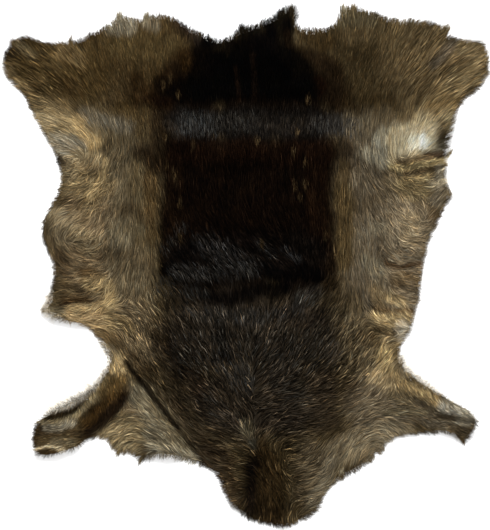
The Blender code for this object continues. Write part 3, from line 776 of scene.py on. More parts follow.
# Where the coat catches the light in streaks: the colour of the hairs that do, from 0 to 255, what share
# of them does, the radius and the path, in millimetres
Sheen = namedtuple("Sheen", "name colour share radius path")
SHEENS = (
    Sheen("loin, left", (53, 52, 49), 0.5, 28, ((-119, 281), (-71, 281))),
    Sheen("loin, second", (48, 45, 40), 0.42, 24, ((-43, 287), (25, 285))),
    Sheen("loin, middle", (41, 35, 28), 0.38, 24, ((37, 283), (125, 281))),
    Sheen("loin, right", (56, 53, 48), 0.48, 26, ((149, 283), (209, 275))),
    Sheen("left of the loin", (104, 96, 80), 0.3, 18, ((-307, 289), (-231, 281))),
    Sheen("back, left", (47, 44, 41), 0.46, 32, ((-79, 39), (-11, 7))),
    Sheen("back, left end", (58, 55, 50), 0.3, 16, ((-167, 31), (-127, 73))),
    Sheen("back, lower left", (58, 55, 51), 0.5, 20, ((-139, -13), (-79, -17))),
    Sheen("back, right", (51, 49, 46), 0.34, 14, ((25, 45), (53, 23))),
    Sheen("back, right end", (56, 54, 52), 0.38, 10, ((77, 31), (105, 13))),
    Sheen("back, middle", (46, 44, 41), 0.42, 28, ((-47, -9), (9, -5))),
    Sheen("back, lower", (46, 45, 42), 0.36, 22, ((-171, -41), (-87, -57))),
    Sheen("withers", (58, 55, 50), 0.34, 20, ((-115, -93), (9, -105), (109, -89))),
    Sheen("withers, right", (68, 66, 59), 0.34, 16, ((109, -61), (133, -71))),
    Sheen("withers, lower", (58, 54, 47), 0.38, 56, ((-111, -169), (149, -169))),
    Sheen("shoulders", (56, 54, 50), 0.42, 30, ((-47, -193), (1, -233))),
    Sheen("shoulders, right", (58, 53, 45), 0.38, 30, ((53, -213), (109, -265))),
    Sheen("shoulders, lower", (55, 51, 45), 0.3, 24, ((-79, -269), (-19, -321))),
    Sheen("right flank", (128, 118, 98), 0.25, 30, ((241, 59), (249, -5))),
    Sheen("neck", (80, 68, 48), 0.24, 28, ((-61, -393), (-19, -459))),
)

# The faint tan spots of the summer coat, in millimetres
SPOTS = (
    (-151, 375), (-165, 361), (-135, 341), (-161, 255), (-105, 241), (-157, 201), (-145, 185),
    (-139, 173), (-131, 125), (-131, 55), (125, 331), (23, 249), (103, 265), (95, 227), (119, 205),
    (99, 161), (119, 163), (109, 135), (33, 43), (161, 59),
)
SPOT_COLOUR = (72, 57, 36)
SPOT_SHARE = 0.48
SPOT_RADIUS = 5
SPOT_LENGTH = 11

# Where the coat is longer, shorter, curlier, flatter or more uneven than usual: the hair's length and the
# depth of the coat as shares of the usual ones, its curl from 0, straight, to 1, and its contrast as a
# share of the usual one
Zone = namedtuple("Zone", "name length depth curl contrast radius path")
ZONES = (
    Zone("rump", 0.55, 1.0, 0.04, 0.9, 130, ((-230, 430), (250, 430))),
    Zone("edge of the rump", 0.95, 1.0, 0.06, 1.2, 16, (
        (-330, 438), (-286, 462), (-246, 482), (-150, 482), (-100, 455), (-48, 438),
        (0, 460), (84, 496), (112, 466), (164, 464), (206, 500), (300, 476), (396, 468),
    )),
    Zone("left hind leg", 0.95, 1.0, 0.06, 1.6, 90, ((-460, 400), (-400, 340))),
    Zone("right hind leg", 1.1, 1.0, 0.04, 1.4, 90, ((400, 400), (450, 350))),
    Zone("left thigh", 0.8, 1.0, 0.06, 0.8, 60, ((-370, 290), (-320, 250))),
    Zone("saddle", 0.8, 1.0, 0.05, 1.4, 130, ((-60, 160), (70, 160))),
    Zone("loin", 0.65, 1.0, 0.10, 1.2, 60, ((-140, 290), (160, 290))),
    Zone("left groin", 0.68, 1.0, 1.0, 1.3, 34, ((-350, 185), (-300, 160))),
    Zone("left belly", 0.85, 1.0, 0.50, 1.1, 70, ((-330, 120), (-330, -70))),
    Zone("lobe of the left belly", 0.85, 1.0, 0.15, 1.0, 30, ((-375, 85), (-361, 55))),
    Zone("right groin", 0.65, 1.0, 1.0, 1.3, 34, ((325, 190), (375, 170))),
    Zone("right groin, white", 0.8, 1.0, 0.10, 0.45, 30, ((315, 258), (360, 252))),
    Zone("right belly", 0.85, 1.0, 0.45, 1.1, 60, ((330, 120), (310, -120))),
    Zone("back", 0.75, 1.0, 0.15, 1.9, 60, ((-120, 30), (130, 10))),
    Zone("withers", 0.8, 1.0, 0.22, 2.1, 130, ((-130, -170), (150, -190))),
    Zone("shoulders", 0.8, 1.0, 0.25, 2.0, 80, ((-60, -320), (120, -340))),
    Zone("left shoulder", 0.9, 1.0, 0.22, 1.3, 70, ((-220, -340), (-140, -350))),
    Zone("right shoulder", 0.95, 1.0, 0.16, 1.2, 90, ((200, -330), (250, -300))),
    Zone("neck", 0.8, 1.0, 0.22, 1.9, 70, ((0, -410), (70, -480))),
    Zone("left foreleg", 0.40, 0.9, 0.05, 1.0, 50, ((-260, -230), (-400, -350))),
    Zone("right foreleg", 0.44, 0.9, 0.06, 1.1, 50, ((310, -240), (440, -320))),
)

# Locks that stand out from the rest, in millimetres and degrees: their root, the direction in which they
# lie, their length, the width of their root, how many hairs they have, and their colour, from 0 to 255
Tuft = namedtuple("Tuft", "name x y lie length width hairs colour")
TUFTS = (
    Tuft("tip of the tail", 88, 498, 70, 31, 11, 220, (14, 9, 6)),
    Tuft("tip of the tail, left", 69, 493, 84, 25, 11, 140, (14, 9, 5)),
    Tuft("rump, middle", -5, 466, 100, 26, 13, 150, (16, 11, 6)),
    Tuft("rump, left spike", -91, 452, 92, 24, 8, 80, (40, 31, 20)),
    Tuft("left rump, pale", -252, 490, 88, 26, 12, 120, (170, 158, 130)),
    Tuft("left rump, second pale", -198, 488, 96, 26, 12, 120, (150, 138, 110)),
    Tuft("left rump, spike", -348, 442, 96, 24, 8, 80, (96, 82, 54)),
    Tuft("right rump, pale", 198, 504, 92, 25, 18, 80, (180, 166, 132)),
    Tuft("right rump, second", 215, 510, 74, 20, 12, 100, (120, 102, 70)),
    Tuft("right hind leg, corner", 398, 468, 62, 24, 14, 130, (126, 108, 76)),
    Tuft("right hind leg, tip", 478, 386, -20, 16, 10, 70, (150, 132, 96)),
    Tuft("right groin, free lock", 404, 220, 52, 22, 6, 60, (190, 172, 132)),
    Tuft("right groin, upper spike", 405, 268, 30, 15, 8, 60, (160, 150, 122)),
    Tuft("right groin, middle spike", 401, 252, 24, 15, 8, 60, (90, 80, 60)),
    Tuft("right groin, lower spike", 399, 236, 12, 13, 8, 50, (110, 98, 76)),
    Tuft("right groin, lowest spike", 397, 202, -6, 14, 8, 50, (150, 130, 95)),
    Tuft("right flank, tip", 404, 150, -62, 22, 10, 90, (150, 130, 92)),
    Tuft("left hind leg, corner", -458, 440, 128, 24, 14, 130, (110, 90, 56)),
    Tuft("left flank, tip", -398, -84, 215, 20, 12, 100, (168, 142, 96)),
    Tuft("left shoulder, spike", -252, -368, 244, 20, 7, 70, (150, 132, 92)),
    Tuft("left shoulder, second spike", -206, -384, 230, 22, 7, 70, (140, 124, 88)),
    Tuft("right shoulder, dark tip", 186, -414, -48, 24, 9, 80, (62, 48, 30)),
    Tuft("right shoulder, middle lock", 245, -384, -48, 17, 24, 130, (116, 104, 80)),
    Tuft("right shoulder, upper lock", 269, -367, -36, 13, 20, 100, (130, 116, 88)),
    Tuft("right shoulder, pale tag", 190, -400, -96, 26, 10, 80, (176, 166, 138)),
    Tuft("right foreleg, tip", 432, -346, -62, 18, 9, 80, (112, 92, 58)),
)

# Stretches of the rim with a thin fringe of pale woolly hair, in millimetres
Fringe = namedtuple("Fringe", "name reach path")
FRINGES = (
    Fringe("left foreleg", 23, ((-402, -297), (-348, -263), (-302, -235), (-284, -205))),
    Fringe("right foreleg", 21, ((302, -186), (330, -206), (364, -232), (392, -251))),
    Fringe("left elbow", 15, ((-292, -156), (-281, -178), (-277, -194))),
    Fringe("left flank, tip", 14, ((-394, -50), (-402, -72), (-410, -88), (-396, -98), (-372, -112))),
)
# The fringe's pale hair, set a little over 255 as painted light on its thin, low hairs
FRINGE_COLOUR = (264, 254, 236)

# The hair's shape: each place along a hair has a share of its length, of its height over the skin and of
# its half width, and a shade of its colour, which is darker at the root: partly the hair's own darker base
# and partly painted shade deep in the coat
Station = namedtuple("Station", "along height width shade")
STATIONS = (
    Station(0.00, 0.04, 0.60, 0.30),
    Station(0.33, 0.66, 1.00, 0.74),
    Station(0.70, 1.00, 0.80, 1.06),
    Station(1.00, 0.92, 0.00, 1.16),
)

BANDS = ("hair_of_the_neck", "hair_of_the_shoulders", "hair_of_the_back", "hair_of_the_loin",
         "hair_of_the_rump")


def on_hide(places):
    """Places in a table, in millimetres, as places in the frame, in metres."""
    return (np.array(places, float) - TABLE_ORIGIN) * MM


def linear(colour):
    """A colour from 0 to 255, as seen, turned into the light that it sends back, by the sRGB curve."""
    share = np.array(colour, float) / 255
    return np.where(share <= 0.04045, share / 12.92, ((share + 0.055) / 1.055) ** 2.4)


def smooth(value, start, end):
    """0 at start and before it, 1 at end and after it, and a soft step between them."""
    share = np.clip((value - start) / (end - start), 0, 1)
    return share * share * (3 - 2 * share)


def turned(directions, angles):
    """Flat directions, turned anticlockwise by angles in radians."""
    cos, sin = np.cos(angles), np.sin(angles)
    x, y = directions[..., 0], directions[..., 1]
    return np.stack([cos * x - sin * y, sin * x + cos * y], axis=-1)


def unit(vectors):
    """Vectors of the same directions, all of length 1."""
    return vectors / np.maximum(np.linalg.norm(vectors, axis=-1, keepdims=True), 1e-9)


def between(field, corner, share):
    """A grid's values between its points: corner is the grid point to the lower left of each place, and
    share is how far the place lies from there to the next point, across and up."""
    x, y = corner[..., 0], corner[..., 1]
    across, up = share[..., 0], share[..., 1]
    if field.ndim == 3:
        across, up = across[..., None], up[..., None]
    low = field[y, x] * (1 - across) + field[y, x + 1] * across
    high = field[y + 1, x] * (1 - across) + field[y + 1, x + 1] * across
    return low * (1 - up) + high * up


def mottle(places, size, seed):
    """Soft random unevenness between -1 and 1, with patches of about that size. It repeats far away."""
    cells, beyond_zero = 64, 1000
    table = np.pad(np.random.default_rng(seed).uniform(-1, 1, (cells, cells)), (0, 1), "wrap")
    cell = places / size + beyond_zero
    corner = np.floor(cell).astype(int)
    return between(table, corner % cells, smooth(cell - corner, 0, 1))


def wander(places, size, seed, finer=0.0):
    """A soft random way to stray at each place. finer is the share of strays a third of that size."""
    return np.stack([mottle(places, size, number) + finer * mottle(places, size / 3, number)
                     for number in (seed, seed + 1)], -1)


def away_from_path(places, path, closed=False):
    """How far each place is from a path, and which stretch of the path is the nearest."""
    ends = np.roll(path, -1, axis=0) if closed else path[1:]
    best = np.full(places.shape[:-1], np.inf)
    nearest = np.zeros(places.shape[:-1], int)
    for number, (start, end) in enumerate(zip(path, ends)):
        side = end - start
        share = np.clip((places - start) @ side / max(side @ side, 1e-12), 0, 1)
        away = np.linalg.norm(places - start - share[..., None] * side, axis=-1)
        nearest = np.where(away < best, number, nearest)
        best = np.minimum(best, away)
    return best, nearest


def cover_of(patch, places, full, gone):
    """How well a row of a table covers each place: 1 near its path, and 0 where the patch ends."""
    away, _ = away_from_path(places, on_hide(patch.path))
    return smooth(away, gone * patch.radius * MM, full * patch.radius * MM)


def within(places, loop):
    """Whether each place lies inside a closed loop."""
    crossings = np.zeros(places.shape[:-1], int)
    for start, end in zip(loop, np.roll(loop, -1, axis=0)):
        if start[1] == end[1]:
            continue
        spans = (start[1] > places[..., 1]) != (end[1] > places[..., 1])
        cut = start[0] + (places[..., 1] - start[1]) * (end[0] - start[0]) / (end[1] - start[1])
        crossings += spans & (places[..., 0] < cut)
    return crossings % 2 == 1


def distances(path):
    """How far along an open path each of its points is."""
    return np.concatenate([[0], np.cumsum(np.linalg.norm(np.diff(path[:, :2], axis=0), axis=1))])


def at_distances(path, places):
    """The points of a path at some distances along it. Columns after the first two are carried along."""
    along = distances(path)
    return np.stack([np.interp(places, along, column) for column in path.T], axis=1)


def evenly_along(loop, spacing):
    """A closed loop with its points evenly apart."""
    closed = np.vstack([loop, loop[:1]])
    whole = distances(closed)[-1]
    return at_distances(closed, np.linspace(0, whole, max(3, round(whole / spacing)), endpoint=False))


def outward(loop):
    """The outward direction at each point of a clockwise loop."""
    along = np.roll(loop, -1, axis=0) - np.roll(loop, 1, axis=0)
    along += np.roll(along, 1, axis=0) + np.roll(along, -1, axis=0)
    along = unit(along)
    return np.stack([-along[:, 1], along[:, 0]], axis=1)


def area_within(loop):
    """The area inside a closed loop."""
    after = np.roll(loop, -1, axis=0)
    return abs((loop[:, 0] * after[:, 1] - loop[:, 1] * after[:, 0]).sum() / 2)


def rim_curve():
    """The rim as a smooth closed curve: x, y, and the reach and sweep of the hair there."""
    rows = [(Vector(on_hide(place)), row.reach * MM, row.sweep) for row in RIM for place in row.points]
    curve = []
    for index, (here, reach, sweep) in enumerate(rows):
        before, (after, next_reach, next_sweep) = rows[index - 1][0], rows[(index + 1) % len(rows)]
        beyond = rows[(index + 2) % len(rows)][0]
        third = (after - here).length / 3
        leaving = here + (after - before).normalized() * third
        arriving = after - (beyond - here).normalized() * third
        places = interpolate_bezier(here, leaving, arriving, after, CURVE_STEPS + 1)[:-1]
        for step, place in enumerate(places):
            share = step / CURVE_STEPS
            curve.append((place.x, place.y, reach + share * (next_reach - reach),
                          sweep + share * (next_sweep - sweep)))
    return np.array(curve)


def skin_edge():
    """The skin's own edge, which lies inside the rim by most of the hair's reach, with the same columns."""
    rim = evenly_along(rim_curve(), RIM_SPACING)
    edge = rim.copy()
    edge[:, :2] -= SKIN_INSET * rim[:, 2:3] * outward(rim[:, :2])
    return evenly_along(edge, EDGE_SPACING)


class Chart:
    """A square grid over the hide. Whatever changes from place to place is kept on it as an array."""

    def __init__(self, low, high, pitch):
        self.low, self.pitch = np.array(low, float), pitch
        columns, rows = np.ceil((np.array(high) - self.low) / pitch).astype(int) + 1
        self.shape = rows, columns
        row, column = np.indices(self.shape)
        self.places = self.low + pitch * np.stack([column, row], axis=-1)

    def read(self, field, places):
        """The field's value at each place, also between the grid's points."""
        at = np.clip((places - self.low) / self.pitch, 0, np.array(self.shape[::-1]) - 1.001)
        corner = at.astype(int)
        return between(field, corner, at - corner)

    def around(self, path, reach):
        """The part of the grid that lies within reach of a path's box, as slices."""
        low = np.maximum((path.min(0) - reach - self.low) // self.pitch, 0).astype(int)
        high = ((path.max(0) + reach - self.low) // self.pitch + 2).astype(int)
        return slice(low[1], high[1]), slice(low[0], high[0])

    def slope(self, field):
        """How steeply a field rises along x and along y."""
        up, across = np.gradient(field, self.pitch)
        return np.stack([across, up], axis=-1)

    def softened(self, field, radius):
        """The field with everything smaller than the radius evened out."""
        reach = math.ceil(3 * radius / self.pitch)
        bell = np.exp(-0.5 * (np.arange(-reach, reach + 1) * self.pitch / radius) ** 2)
        bell /= bell.sum()
        for axis in range(2):
            padded = np.pad(field, [(reach, reach) if side == axis else (0, 0) for side in range(2)], "edge")
            field = np.apply_along_axis(np.convolve, axis, padded, bell, "valid")
        return field

    def filled(self, field):
        """The field with its gaps, which are NaN, filled from what lies next to them."""
        field = field.copy()
        while np.isnan(field).any():
            padded = np.pad(field, 1, constant_values=np.nan)
            near = np.stack([padded[1 + y:padded.shape[0] - 1 + y, 1 + x:padded.shape[1] - 1 + x]
                             for y in (-1, 0, 1) for x in (-1, 0, 1)])
            known = ~np.isnan(near)
            mean = np.where(known, near, 0).sum(0) / np.maximum(known.sum(0), 1)
            field = np.where(np.isnan(field) & known.any(0), mean, field)
        return field


class Land:
    """The hide as it lies: its heights, its edge, how its hair lies and what colour it is, on one chart."""

    def __init__(self):
        low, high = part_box(HIDE)
        low, high = np.array(low.xy) - CHART_MARGIN, np.array(high.xy) + CHART_MARGIN
        self.chart, self.canvas = Chart(low, high, CHART_PITCH), Chart(low, high, PAINT_PITCH)
        self.edge = skin_edge()
        self.outline = self.edge[:, :2]
        places = self.chart.places
        away, nearest = away_from_path(places, self.outline, closed=True)
        self.inside = np.where(within(places, self.outline), away, -away)
        self.reach = self.chart.softened(self.edge[nearest, 2], DEPTH_SOFTENING)
        self.out = unit(-self.chart.slope(self.chart.softened(self.inside, self.chart.pitch)))
        under, over = self.cast()
        lifted = self.chart.softened(self.chart.filled(under), FOLD_SOFTENING) + self.puckered()
        self.skin = np.maximum(lifted, LEAST_GAP) + SKIN_THICKNESS
        self.slope = self.chart.slope(self.skin)
        depth = self.chart.softened(self.chart.filled(over - under), DEPTH_SOFTENING) - SKIN_THICKNESS
        self.zones = self.zoned()
        self.depth = np.maximum(depth * self.zones[..., 1], LEAST_DEPTH)
        self.lie = self.combed()
        self.paint = self.painted()

    def cast(self):
        """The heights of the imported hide's underside and top, NaN where there is none."""
        mesh = frame["nodes"][HIDE].data
        tree = BVHTree.FromPolygons([vert.co for vert in mesh.vertices],
                                    [face.vertices[:] for face in mesh.polygons])
        heights = []
        for start, way in ((-1.0, 1.0), (1.0, -1.0)):
            found = np.full(self.chart.shape, np.nan)
            for row, column in np.argwhere(self.inside > SURE_INSIDE):
                x, y = self.chart.places[row, column]
                met = tree.ray_cast(Vector((x, y, start)), Vector((0, 0, way)))[0]
                if met is not None:
                    found[row, column] = met.z
            heights.append(found)
        return heights

    def puckered(self):
        """How far the small puckers and swells lift the skin, or press it down."""
        places = self.chart.places
        height = SWELL_HEIGHT * (mottle(places, SWELL_SIZE, SWELL_SEED)
                                 + FINER_SWELL * mottle(places, SWELL_SIZE / 2, SWELL_SEED + 1))
        strayed = places + PUCKER_WANDER * wander(places, PUCKER_WANDER_SIZE, PUCKER_SEED)
        for pucker in PUCKERS:
            away, _ = away_from_path(strayed, on_hide(pucker.path))
            share = np.clip(away / (pucker.width * MM), 0, 1)
            height += pucker.lift * MM * np.cos(math.pi / 2 * share) ** 2
        return height

    def zoned(self):
        """The length, depth, curl and contrast of the coat at each point."""
        field = np.tile(np.array([1.0, 1.0, USUAL_CURL, 1.0]), (*self.chart.shape, 1))
        for zone in ZONES:
            cover = cover_of(zone, self.chart.places, ZONE_FULL, ZONE_GONE)[..., None]
            field += cover * (np.array([zone.length, zone.depth, zone.curl, zone.contrast]) - field)
        return field

    def combed(self):
        """The direction of the hair's tips at each point, from the strokes around it."""
        lines = np.zeros((*self.chart.shape, 2))
        tips = np.zeros((*self.chart.shape, 2))
        for combing in COMBINGS:
            for x, y, lie in combing.strokes:
                away = np.linalg.norm(self.chart.places - on_hide((x, y)), axis=-1)
                weight = ((away ** 2 + COMBING_FOCUS ** 2) / COMBING_FOCUS ** 2) ** (-COMBING_FALL / 2)
                angle = math.radians(lie)
                lines += weight[..., None] * (math.cos(2 * angle), math.sin(2 * angle))
                tips += weight[..., None] * (math.cos(angle), math.sin(angle))
        angle = np.arctan2(lines[..., 1], lines[..., 0]) / 2
        along = np.stack([np.cos(angle), np.sin(angle)], axis=-1)
        return along * np.where((along * tips).sum(-1) < 0, -1, 1)[..., None]

    def painted(self):
        """The coat's colour at each point, as the light that it sends back."""
        canvas = self.canvas
        places = canvas.places
        stray = wander(places, PAINT_WANDER_SIZE, WANDER_SEED, FINER_WANDER)
        colour = np.tile(linear(UNPAINTED), (*canvas.shape, 1))
        for dab in DABS:
            path, radius = on_hide(dab.path), dab.radius * MM
            strayed = min(PAINT_WANDER, PAINT_WANDER_SHARE * radius)
            area = canvas.around(path, PAINT_GONE * radius + 2 * strayed)
            away, _ = away_from_path(places[area] + strayed * stray[area], path)
            full = dab.cover * smooth(away, PAINT_GONE * radius, PAINT_FULL * radius)
            colour[area] += full[..., None] * (linear(dab.colour) - colour[area])
        haze = mottle(places, HAZE_SIZE, HAZE_SEED)
        haze += FINER_HAZE * mottle(places, HAZE_SIZE / 3, HAZE_SEED + 1)
        streaks = mottle(places, STREAK_SIZE, STREAK_SEED)
        lie = self.chart.read(self.lie, places)
        for _ in range(STREAK_PASSES):
            streaks = sum(canvas.read(streaks, places + way * STREAK_STEP * lie) for way in (-1, 0, 1)) / 3
        unevenness = HAZE * haze + STREAKS * streaks / streaks.std()
        return colour * np.exp(self.chart.read(self.zones, places)[..., 3] * unevenness)[..., None]

    def colour(self, places):
        """The paint at each place."""
        return self.canvas.read(self.paint, places)

    def at(self, name, places):
        """One of the fields at each place."""
        return self.chart.read(getattr(self, name), places)


class Wire:
    """A value that comes out of a node, so that shader maths reads as plain expressions."""

    def __init__(self, tree, socket):
        self.tree, self.socket = tree, socket

    def worked(self, operation, other):
        return self.tree.node("Math", {"operation": operation}, {0: self, 1: other})[0]

    def __add__(self, other):
        return self.worked("ADD", other)

    def __mul__(self, other):
        return self.worked("MULTIPLY", other)

    __radd__, __rmul__ = __add__, __mul__


class Tree:
    """The nodes of a material or of the world, and one way to add to them."""

    def __init__(self, owner):
        owner.use_nodes = True
        self.nodes, self.links = owner.node_tree.nodes, owner.node_tree.links
        self.nodes.clear()

    def node(self, kind, settings=None, values=None):
        """Adds a node, sets it up and gives its sockets values or links. Returns what comes out of it, by
        number or name."""
        added = self.nodes.new("ShaderNode" + kind)
        for name, setting in (settings or {}).items():
            if name == "stops":
                stops = added.color_ramp.elements
                while len(stops) < len(setting):
                    stops.new(1)
                for stop, (place, colour) in zip(stops, setting):
                    stop.position, stop.color = place, colour
            else:
                setattr(added, name, setting)
        for name, value in (values or {}).items():
            if isinstance(value, Wire):
                self.links.new(value.socket, added.inputs[name])
            else:
                added.inputs[name].default_value = value
        return {key: Wire(self, socket) for number, socket in enumerate(added.outputs)
                for key in (number, socket.name)}

    def noise(self, scale, detail, roughness=0.5):
        """Noise over the piece, from 0 to 1."""
        place = self.node("TexCoord")["Object"]
        return self.node("TexNoise", None, {
            "Vector": place, "Scale": scale, "Detail": detail, "Roughness": roughness,
        })[0]

    def surface(self, values):
        """Ends a material in one shader."""
        shader = self.node("BsdfPrincipled", None, values)["BSDF"]
        self.node("OutputMaterial", None, {"Surface": shader})


def hair_material(settings, name, roughness):
    """Deer hair: each hair's own colour from its attribute, with a little more unevenness along it."""
    material = bpy.data.materials.new(name)
    tree = Tree(material)
    # the attribute holds the coat's paint, with its painted sheen and its painted shade
    coat = tree.node("Attribute", {"attribute_name": "coat"})["Color"]
    fine = tree.noise(scale=420.0, detail=2.0, roughness=0.6)
    broad = tree.noise(scale=60.0, detail=3.0)
    shade = 0.72 + 0.36 * fine + 0.20 * broad
    tree.surface({
        "Base Color": tree.node("VectorMath", {"operation": "SCALE"}, {0: coat, "Scale": shade})["Vector"],
        "Roughness": roughness + 0.16 * fine,
        "Specular IOR Level": settings.shine,
    })
    return material


def skin_material(settings):
    """Pale suede: a dressed flesh side with a fine nap, pores and soft blotches."""
    material = bpy.data.materials.new("suede")
    tree = Tree(material)
    blotches = tree.noise(scale=14.0, detail=5.0, roughness=0.6)
    nap = tree.noise(scale=900.0, detail=3.0, roughness=0.7)
    place = tree.node("TexCoord")["Object"]
    pores = tree.node("TexVoronoi", None, {"Vector": place, "Scale": 520.0})["Distance"]
    dark, pale = (*(SUEDE_DARK * np.array(settings.colour)), 1.0), (1.0, 1.0, 1.0, 1.0)
    stops = (SUEDE_DARK_UNTIL, dark), (1.0, pale)
    tree.surface({
        "Base Color": tree.node("ValToRGB", {"stops": stops}, {"Fac": 0.7 * blotches + 0.3 * nap})["Color"],
        "Roughness": 0.78 + 0.14 * nap,
        "Normal": tree.node("Bump", None, {
            "Height": 0.6 * nap + 0.4 * pores, "Strength": 0.35, "Distance": 0.0004,
        })["Normal"],
        "Specular IOR Level": 0.25,
    })
    return material


def floor_material(settings):
    """A plain pale painted floor, a little uneven in its gloss."""
    material = bpy.data.materials.new("pale_floor")
    tree = Tree(material)
    tree.surface({
        "Base Color": (*settings.floor_colour, 1.0),
        "Roughness": 0.85 + 0.1 * tree.noise(scale=1.5, detail=2.0),
        "Specular IOR Level": 0.2,
    })
    return material


def flat_mesh(edge, pitch):
    """The plan of a loop as triangles: its points, with the rim's first, and their corners."""
    low, high = edge.min(0), edge.max(0)
    rows = []
    for number, y in enumerate(np.arange(low[1], high[1], pitch * math.sqrt(3) / 2)):
        x = np.arange(low[0] + number % 2 * pitch / 2, high[0], pitch)
        rows.append(np.stack([x, np.full(len(x), y)], axis=1))
    grid = np.vstack(rows)
    away, _ = away_from_path(grid, edge, closed=True)
    grid = grid[within(grid, edge) & (away > INNER_POINTS_CLEARANCE * pitch)]
    places = [Vector(place) for place in np.vstack([edge, grid])]
    cut = delaunay_2d_cdt(places, [], [list(range(len(edge)))], 1, 1e-6)
    return np.array([tuple(place) for place in cut[0]]), np.array(cut[2])


def facing_up(points, triangles):
    """The same triangles, each turned so that it faces up."""
    a, b, c = (points[triangles[:, corner], :2] for corner in range(3))
    area = (b - a)[:, 0] * (c - a)[:, 1] - (b - a)[:, 1] * (c - a)[:, 0]
    return np.where((area < 0)[:, None], triangles[:, ::-1], triangles)


def new_object(name, points, triangles, material):
    """A smooth mesh object with one material, alone in the selection."""
    mesh = bpy.data.meshes.new(name)
    mesh.vertices.add(len(points))
    mesh.vertices.foreach_set("co", np.asarray(points, np.float32).ravel())
    mesh.loops.add(3 * len(triangles))
    mesh.loops.foreach_set("vertex_index", np.asarray(triangles, np.int32).ravel())
    mesh.polygons.add(len(triangles))
    mesh.polygons.foreach_set("loop_start", np.arange(0, 3 * len(triangles), 3, dtype=np.int32))
    mesh.update(calc_edges=True)
    mesh.shade_smooth()
    mesh.materials.append(material)
    piece = bpy.data.objects.new(name, mesh)
    bpy.context.scene.collection.objects.link(piece)
    bpy.ops.object.select_all(action="DESELECT")
    piece.select_set(True)
    bpy.context.view_layer.objects.active = piece
    return piece


def paint_points(piece, colours):
    """Gives each point of a piece its colour, in the attribute that the hair's material reads."""
    layer = piece.data.color_attributes.new(name="coat", type="FLOAT_COLOR", domain="POINT")
    opaque = np.column_stack([colours, np.ones(len(colours))])
    layer.data.foreach_set("color", opaque.astype(np.float32).ravel())


def thickened(piece, thickness):
    """Turns an open sheet into a closed one, with its new side below."""
    solidify = piece.modifiers.new("thickness", "SOLIDIFY")
    solidify.thickness = thickness
    solidify.offset = -1
    bpy.ops.object.modifier_apply(modifier=solidify.name)


def make_skin(settings):
    """The dressed skin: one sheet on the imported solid's folds, bare on its flesh side and at its edge."""
    points, triangles = flat_mesh(land.outline, settings.mesh_pitch)
    height = land.at("skin", points)
    piece = new_object("skin", np.column_stack([points, height]), facing_up(points, triangles),
                       skin_material(settings))
    thickened(piece, SKIN_THICKNESS - SKIN_PLAY)
    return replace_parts(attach(piece, "root"), HIDE)


def make_undercoat(settings, coat):
    """The woolly undercoat: a low mat close over the skin, which shows only between the hairs."""
    loop = evenly_along(land.outline - settings.undercoat_inset * outward(land.outline), WOOL_EDGE_SPACING)
    points, triangles = flat_mesh(loop, settings.mesh_pitch)
    lift = settings.undercoat_height * land.at("depth", points)
    lift *= 1 + WOOL_LUMPS * mottle(points, WOOL_LUMP_SIZE, WOOL_SEED)
    inner = smooth(land.at("inside", points), 0, WOOL_EDGE_WIDTH)
    lift *= WOOL_EDGE_HEIGHT + (1 - WOOL_EDGE_HEIGHT) * inner
    height = land.at("skin", points) + SKIN_TO_HAIR + lift
    piece = new_object("undercoat", np.column_stack([points, height]), facing_up(points, triangles),
                       hair_material(coat, "wool", coat.wool_roughness))
    shade = 1 + WOOL_MOTTLE * mottle(points, WOOL_MOTTLE_SIZE, WOOL_SEED + 1)
    # the undercoat takes the coat's paint, darkened as painted shade between the hairs
    paint_points(piece, coat.brightness * WOOL_PAINTED_SHADE * land.colour(points) * shade[:, None])
    thickened(piece, WOOL_THICKNESS)
    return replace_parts(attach(piece, "root"), HIDE)


def scattered(spacing, draw):
    """Places strewn evenly over the chart, one in each square of that size."""
    low, high = land.chart.places[0, 0], land.chart.places[-1, -1]
    x, y = np.meshgrid(np.arange(low[0], high[0], spacing), np.arange(low[1], high[1], spacing))
    places = np.stack([x.ravel(), y.ravel()], axis=1)
    return places + spacing * draw.uniform(0, 1, places.shape)


def station_row(name):
    """One column of the table of stations, from root to tip."""
    return np.array([getattr(station, name) for station in STATIONS])


def grown(roots, lengths, ahead):
    """Hair lines from their roots to their tips. ahead gives the directions in which a stretch of the hairs
    grows, from where it starts and from the shares of the length at its two ends."""
    lines = [roots]
    for here, after in zip(station_row("along"), station_row("along")[1:]):
        lines.append(lines[-1] + ahead(lines[-1], here, after) * (lengths * (after - here))[:, None])
    return np.stack(lines, axis=1)


def combed_lines(middles, lengths, turns, bends):
    """Follows the lie of the hair from a root, so that each hair's middle is near the given place."""
    own = land.at("lie", middles)

    def lie(places):
        there = unit(land.at("lie", places))
        return there * np.where((there * own).sum(1) < 0, -1, 1)[:, None]

    def ahead(places, here, after):
        return turned(lie(places), turns + bends * ((here + after) / 2 - BEND_MIDDLE))

    roots = middles
    for _ in range(2):
        roots = roots - lie(roots) * (lengths / 4)[:, None]
    roots = np.where((land.at("inside", roots) > 0)[:, None], roots, middles)
    return grown(roots, lengths, ahead)


